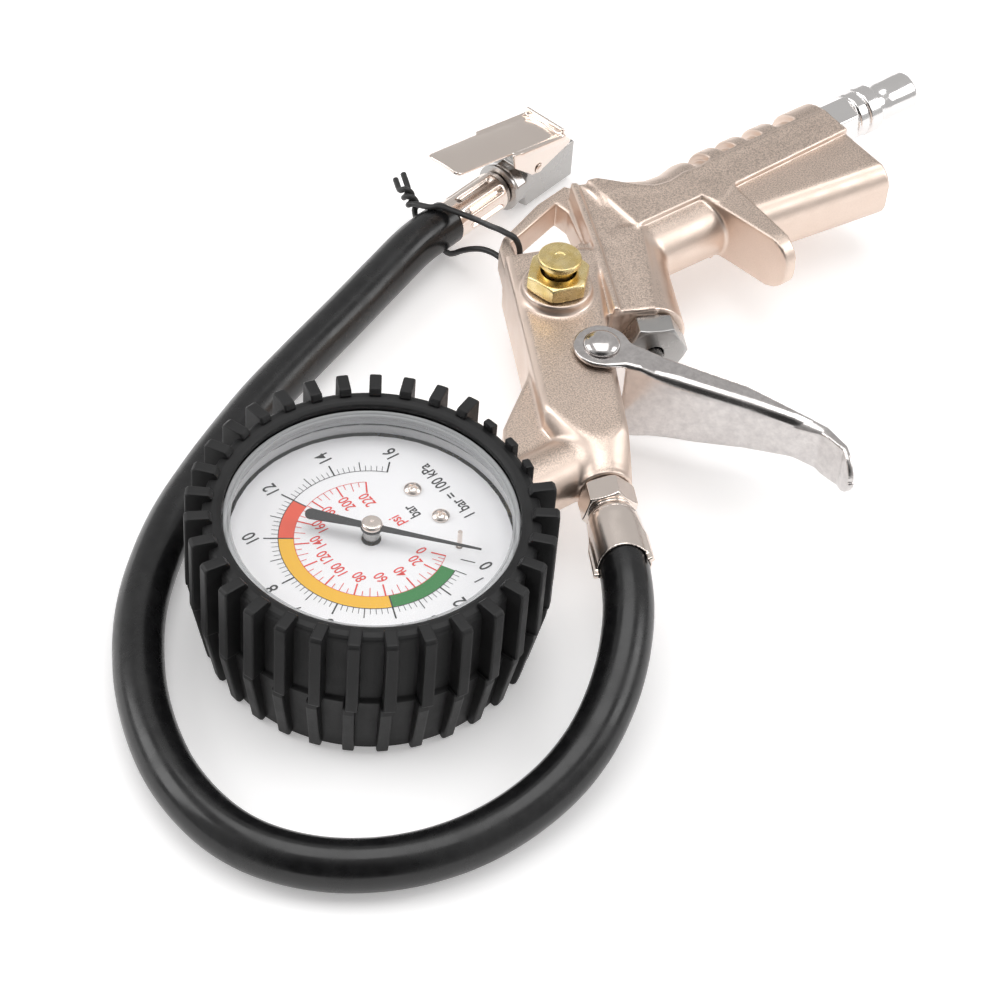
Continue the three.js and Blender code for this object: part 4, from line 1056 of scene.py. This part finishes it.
def pointer_mesh():
    """A tapered blade with a hub disc and a round-ended tail."""
    outline = [(28.6, 0.16), (10, 0.62), (3, 0.85)]
    outline += [(2.9 * math.cos(a), 2.9 * math.sin(a)) for a in np.linspace(0.35, 2.8, 12)]
    outline += [(-4, 0.95), (-14.6, 1.6)]
    outline += [(-15.7 + 1.75 * math.cos(a), 1.75 * math.sin(a))
                for a in np.linspace(1.7, math.pi, 6)]
    outline += [(x, -y) for x, y in reversed(outline[:-1])]
    n = len(outline)
    vertices = [(x, y, z) for z in (37.8, 38.3) for x, y in outline]
    faces = [list(range(n - 1, -1, -1)), list(range(n, 2 * n))]
    faces += [[i, (i + 1) % n, (i + 1) % n + n, i + n] for i in range(n)]
    return mesh_from("pointer", vertices, faces)


piece("pointer_blade", pointer_mesh(), "pointer", "pointer",
      GAUGE @ Matrix.Rotation(math.radians(-49), 4, "Z"), ["pointer"], smooth=False)
piece("pointer_boss", turned("pointer_boss", [
    (1.2, 34.6), (2.2, 34.6), (2.2, 37.6), (1.2, 37.6), (1.2, 34.6),
], 0.2, 48), "steel", "pointer", GAUGE, ["pointer_hub"])
piece("pointer_button", turned("pointer_button", [
    (0, 38.4), (2.75, 38.4), (2.75, 39.2), (2.3, 39.75), (0.45, 39.8), (0.4, 39.5), (0, 39.5),
], 0.25, 64), "nickel", "pointer", GAUGE, ["pointer_cap"])


def cross_screw(name, x, y):
    """A pan-head screw with a cross recess."""
    grid = Grid((-2.8, -2.8, 33.2), (2.8, 2.8, 35.7), 0.12)
    gx, gy, gz = grid.x, grid.y, grid.z
    r = np.sqrt(gx ** 2 + gy ** 2)
    dome = np.sqrt(r ** 2 + (gz - 31.9) ** 2) - 3.15
    head = np.maximum(np.maximum(dome, r - 2.3), 33.55 - gz)
    arms = np.minimum(np.maximum(np.abs(gx) - 0.28, np.abs(gy) - 1.15),
                      np.maximum(np.abs(gy) - 0.28, np.abs(gx) - 1.15))
    recess = np.maximum(arms, 34.3 - gz)
    mesh = surface_net(name, cut(head, recess, 0.12), grid)
    spin = Matrix.Rotation(0.5, 4, "Z")
    place = GAUGE @ Matrix.Translation(Vector((x, y, 0)) * MM) @ spin
    return mesh, place


for index, (sx, sy) in enumerate([(18.6, 8.1), (19.3, -3.5)], 1):
    screw_mesh, screw_place = cross_screw(f"screw_{index}", sx, sy)
    piece(f"dial_screw_head_{index}", screw_mesh, "nickel", "gun", screw_place,
          [f"dial_screw_{index}"])


# -------------------------------------------------------------------- the chuck
PIN_X = 9.0                              # the lever's pin, in the chuck's frame
PIN_Z = 16.0


def fluted_sleeve():
    """A sleeve pressed on the hose with eight flutes along it."""
    grid = Grid((-7, -7, -22.5), (7, 7, 0), 0.25)
    x, y, z = grid.x, grid.y, grid.z
    r, a = np.sqrt(x ** 2 + y ** 2), np.arctan2(y, x)
    depth = np.interp(z, [-19, -16.5, -4.6, -3], [0, 1, 1, 0])
    groove = 1.1 * np.clip(np.cos(8 * a) * 1.3 + 0.1, 0, 1) * depth
    outer = r - np.interp(z, [-22, -2.4, -0.4], [6.15, 6.15, 5.5]) + groove
    field = np.maximum(outer, np.maximum(-22 - z, z + 0.35))
    return surface_net("sleeve", cut(field, r - 2.6, 0.3), grid)


sleeve = piece("sleeve_fluted", fluted_sleeve(), "nickel", "gun", MOUTH, ["chuck_ferrule"])
washer = piece("washer_plated", turned("washer_plated", [
    (3, 0), (7.5, 0), (7.5, 1.2), (3, 1.2), (3, 0),
], 0.25, 64), "steel", "gun", MOUTH, ["chuck_washer"])


def chuck_block():
    """A square block with an octagonal neck, a bore, and a slot for the jaw."""
    grid = Grid((0.8, -7.6, 0.8), (28, 7.6, 19.6), 0.3)
    x, y, z = grid.x, grid.y, grid.z
    outline = [(1.6, -6.6), (27, -6.6), (27, 6.6), (1.6, 6.6)]
    block = slab(outline_distance(x, y, outline), z, 1.6, 15.4, 0.6)
    # The washer's end is turned down to an octagon with cut corners.
    corner = (np.abs(y) + np.abs(z - CHUCK_Z)) * 0.7071 - np.interp(x, [1.6, 5.4, 6.2], [6.6, 6.6, 9.4])
    block = -blend(-block, -corner, 0.4)
    cheeks = slab(outline_distance(x, y, [(5, -3), (13, -3), (13, 3), (5, 3)]), z, 13, 18.6, 0.6)
    block = blend(block, cheeks, 0.8)
    bore = rod(x, y, z, (8, 0, CHUCK_Z), (40, 0, CHUCK_Z), 4.5)
    block = cut(block, bore, 0.6)
    block = cut(block, rod(x, y, z, (-5, 0, CHUCK_Z), (9, 0, CHUCK_Z), 1.8), 0.3)
    slot = slab(outline_distance(x, y, [(20.6, -5.4), (25.2, -5.4), (25.2, 5.4), (20.6, 5.4)]),
                z, 7.6, 40, 0.2)
    block = cut(block, slot, 0.4)
    pin_hole = rod(x, y, z, (PIN_X, -9, PIN_Z), (PIN_X, 9, PIN_Z), 1.35)
    return surface_net("block", np.maximum(block, -pin_hole), grid)


block = piece("chuck_block", chuck_block(), "steel", "gun", CLIP, ["chuck_body"])


def thumb_plate():
    """The chuck's lever, a sloping plate crowned across."""
    grid = Grid((-28, -8.8, 12.6), (25, 8.8, 36.4), 0.35)
    x, y, z = grid.x, grid.y, grid.z
    tip, end, slope = -26.5, 20.6, 0.255
    top = 22 + (end - x) * slope - 0.014 * y ** 2
    # A sheet that turns down over the block as two ears.
    near = np.interp(x, [-27, -2, 1, 25], [6.2, 6.2, 7.9, 7.9])
    width = np.where(y < 0, near, np.interp(x, [-27, 25], [6.2, 7.9]))
    plan = np.maximum(np.maximum(np.abs(y) - width, x - end), tip - x)
    corner = np.sqrt(np.maximum(np.abs(y) - width + 2, 0) ** 2 + np.maximum(tip + 2 - x, 0) ** 2) - 2
    plan = np.maximum(plan, np.where(x < -20, corner, -9))
    level = (z - top + 0.5) * math.cos(math.atan(slope))
    sheet = slab(plan, level, -0.5, 0.5, 0.35)
    lip = slab(np.maximum(np.abs(x - 20.2) - 0.55, np.abs(y) - 7.4), z, 21, 24, 0.3)
    ear = [(-3, 27.6), (end, 21.8), (23.6, 18.6), (23, 17.4), (9.4, 13.8), (6.4, 14.6), (-2, 22)]
    ears = slab(outline_distance(x, z, ear), np.abs(y), 6.9, 7.9, 0.3)
    field = blend(blend(sheet, ears, 1.2), lip, 0.8)
    pin_hole = rod(x, y, z, (PIN_X, -9, PIN_Z), (PIN_X, 9, PIN_Z), 1.3)
    return surface_net("thumb", np.maximum(field, -pin_hole), grid)


thumb = piece("thumb_lever", thumb_plate(), "nickel", "chuck_lever", CLIP, ["chuck_lever"])
PIN_HEAD = [(1.1, 8), (1.6, 8), (1.6, 8.2), (1, 8.6), (0, 8.7)]
PIN_PLACE = Matrix.Translation(Vector((PIN_X, 0, PIN_Z)) * MM) @ Matrix.Rotation(math.pi / 2, 4, "X")
pin_profile = [(r, -z) for r, z in reversed(PIN_HEAD)] + PIN_HEAD
pin = piece("pin_headed", turned("pin_headed", pin_profile, 0.15, 32), "nickel", "gun",
            CLIP @ PIN_PLACE, ["chuck_pin"])

# ------------------------------------------------------------- floor and lights
floor = bpy.data.objects.new("floor", mesh_from("floor", [
    (-6000, -6000, 0), (6000, -6000, 0), (6000, 6000, 0), (-6000, 6000, 0),
], [[0, 1, 2, 3]]))
bpy.context.collection.objects.link(floor)
floor.location.z = min(cad_low.z, 0.0) - 0.00002
paper = plain_surface("floor_paper", (0.93, 0.925, 0.925), 0.0, 0.75, 30, 0.01)
paper.node_tree.nodes["Principled BSDF"].inputs["Emission Color"].default_value = (1, 0.99, 0.99, 1)
paper.node_tree.nodes["Principled BSDF"].inputs["Emission Strength"].default_value = 0.32
floor.data.materials.append(paper)


def panel_light(name, azimuth, elevation, distance, size, power):
    """A soft square light aimed at the object, placed round it."""
    data = bpy.data.lights.new(name, "AREA")
    data.shape = "SQUARE"
    data.size = size
    data.energy = power
    a, e = math.radians(azimuth), math.radians(elevation)
    away = Vector((math.sin(a) * math.cos(e), -math.cos(a) * math.cos(e), math.sin(e)))
    obj = bpy.data.objects.new(name, data)
    obj.location = away * distance
    obj.rotation_mode = "QUATERNION"
    obj.rotation_quaternion = (-away).to_track_quat("-Z", "Y")
    bpy.context.collection.objects.link(obj)


panel_light("overhead", 150, 84, 1.3, 1.0, 6.5)
panel_light("left_wall", -130, 32, 1.4, 0.8, 6)
panel_light("right_wall", 55, 36, 1.5, 0.7, 5)


TO_CAMERA = (-0.557, -0.663, 0.5)


def studio_world():
    """Pale surroundings, dark where the camera stands."""
    world = bpy.data.worlds.new("studio")
    world.use_nodes = True
    nodes, links = world.node_tree.nodes, world.node_tree.links
    direction = nodes.new("ShaderNodeTexCoord").outputs["Generated"]
    facing = nodes.new("ShaderNodeVectorMath")
    facing.operation = "DOT_PRODUCT"
    facing.inputs[1].default_value = TO_CAMERA
    links.new(direction, facing.inputs[0])
    shade = nodes.new("ShaderNodeMapRange")
    for socket, value in (("From Min", 0.70), ("From Max", 0.93), ("To Min", 0.55), ("To Max", 0.05)):
        shade.inputs[socket].default_value = value
    links.new(facing.outputs["Value"], shade.inputs["Value"])
    background = nodes["Background"]
    background.inputs["Color"].default_value = (1.0, 0.995, 0.99, 1.0)
    links.new(shade.outputs["Result"], background.inputs["Strength"])
    return world


bpy.context.scene.world = studio_world()
bpy.context.scene.view_settings.view_transform = "Standard"
bpy.context.scene.view_settings.look = "None"
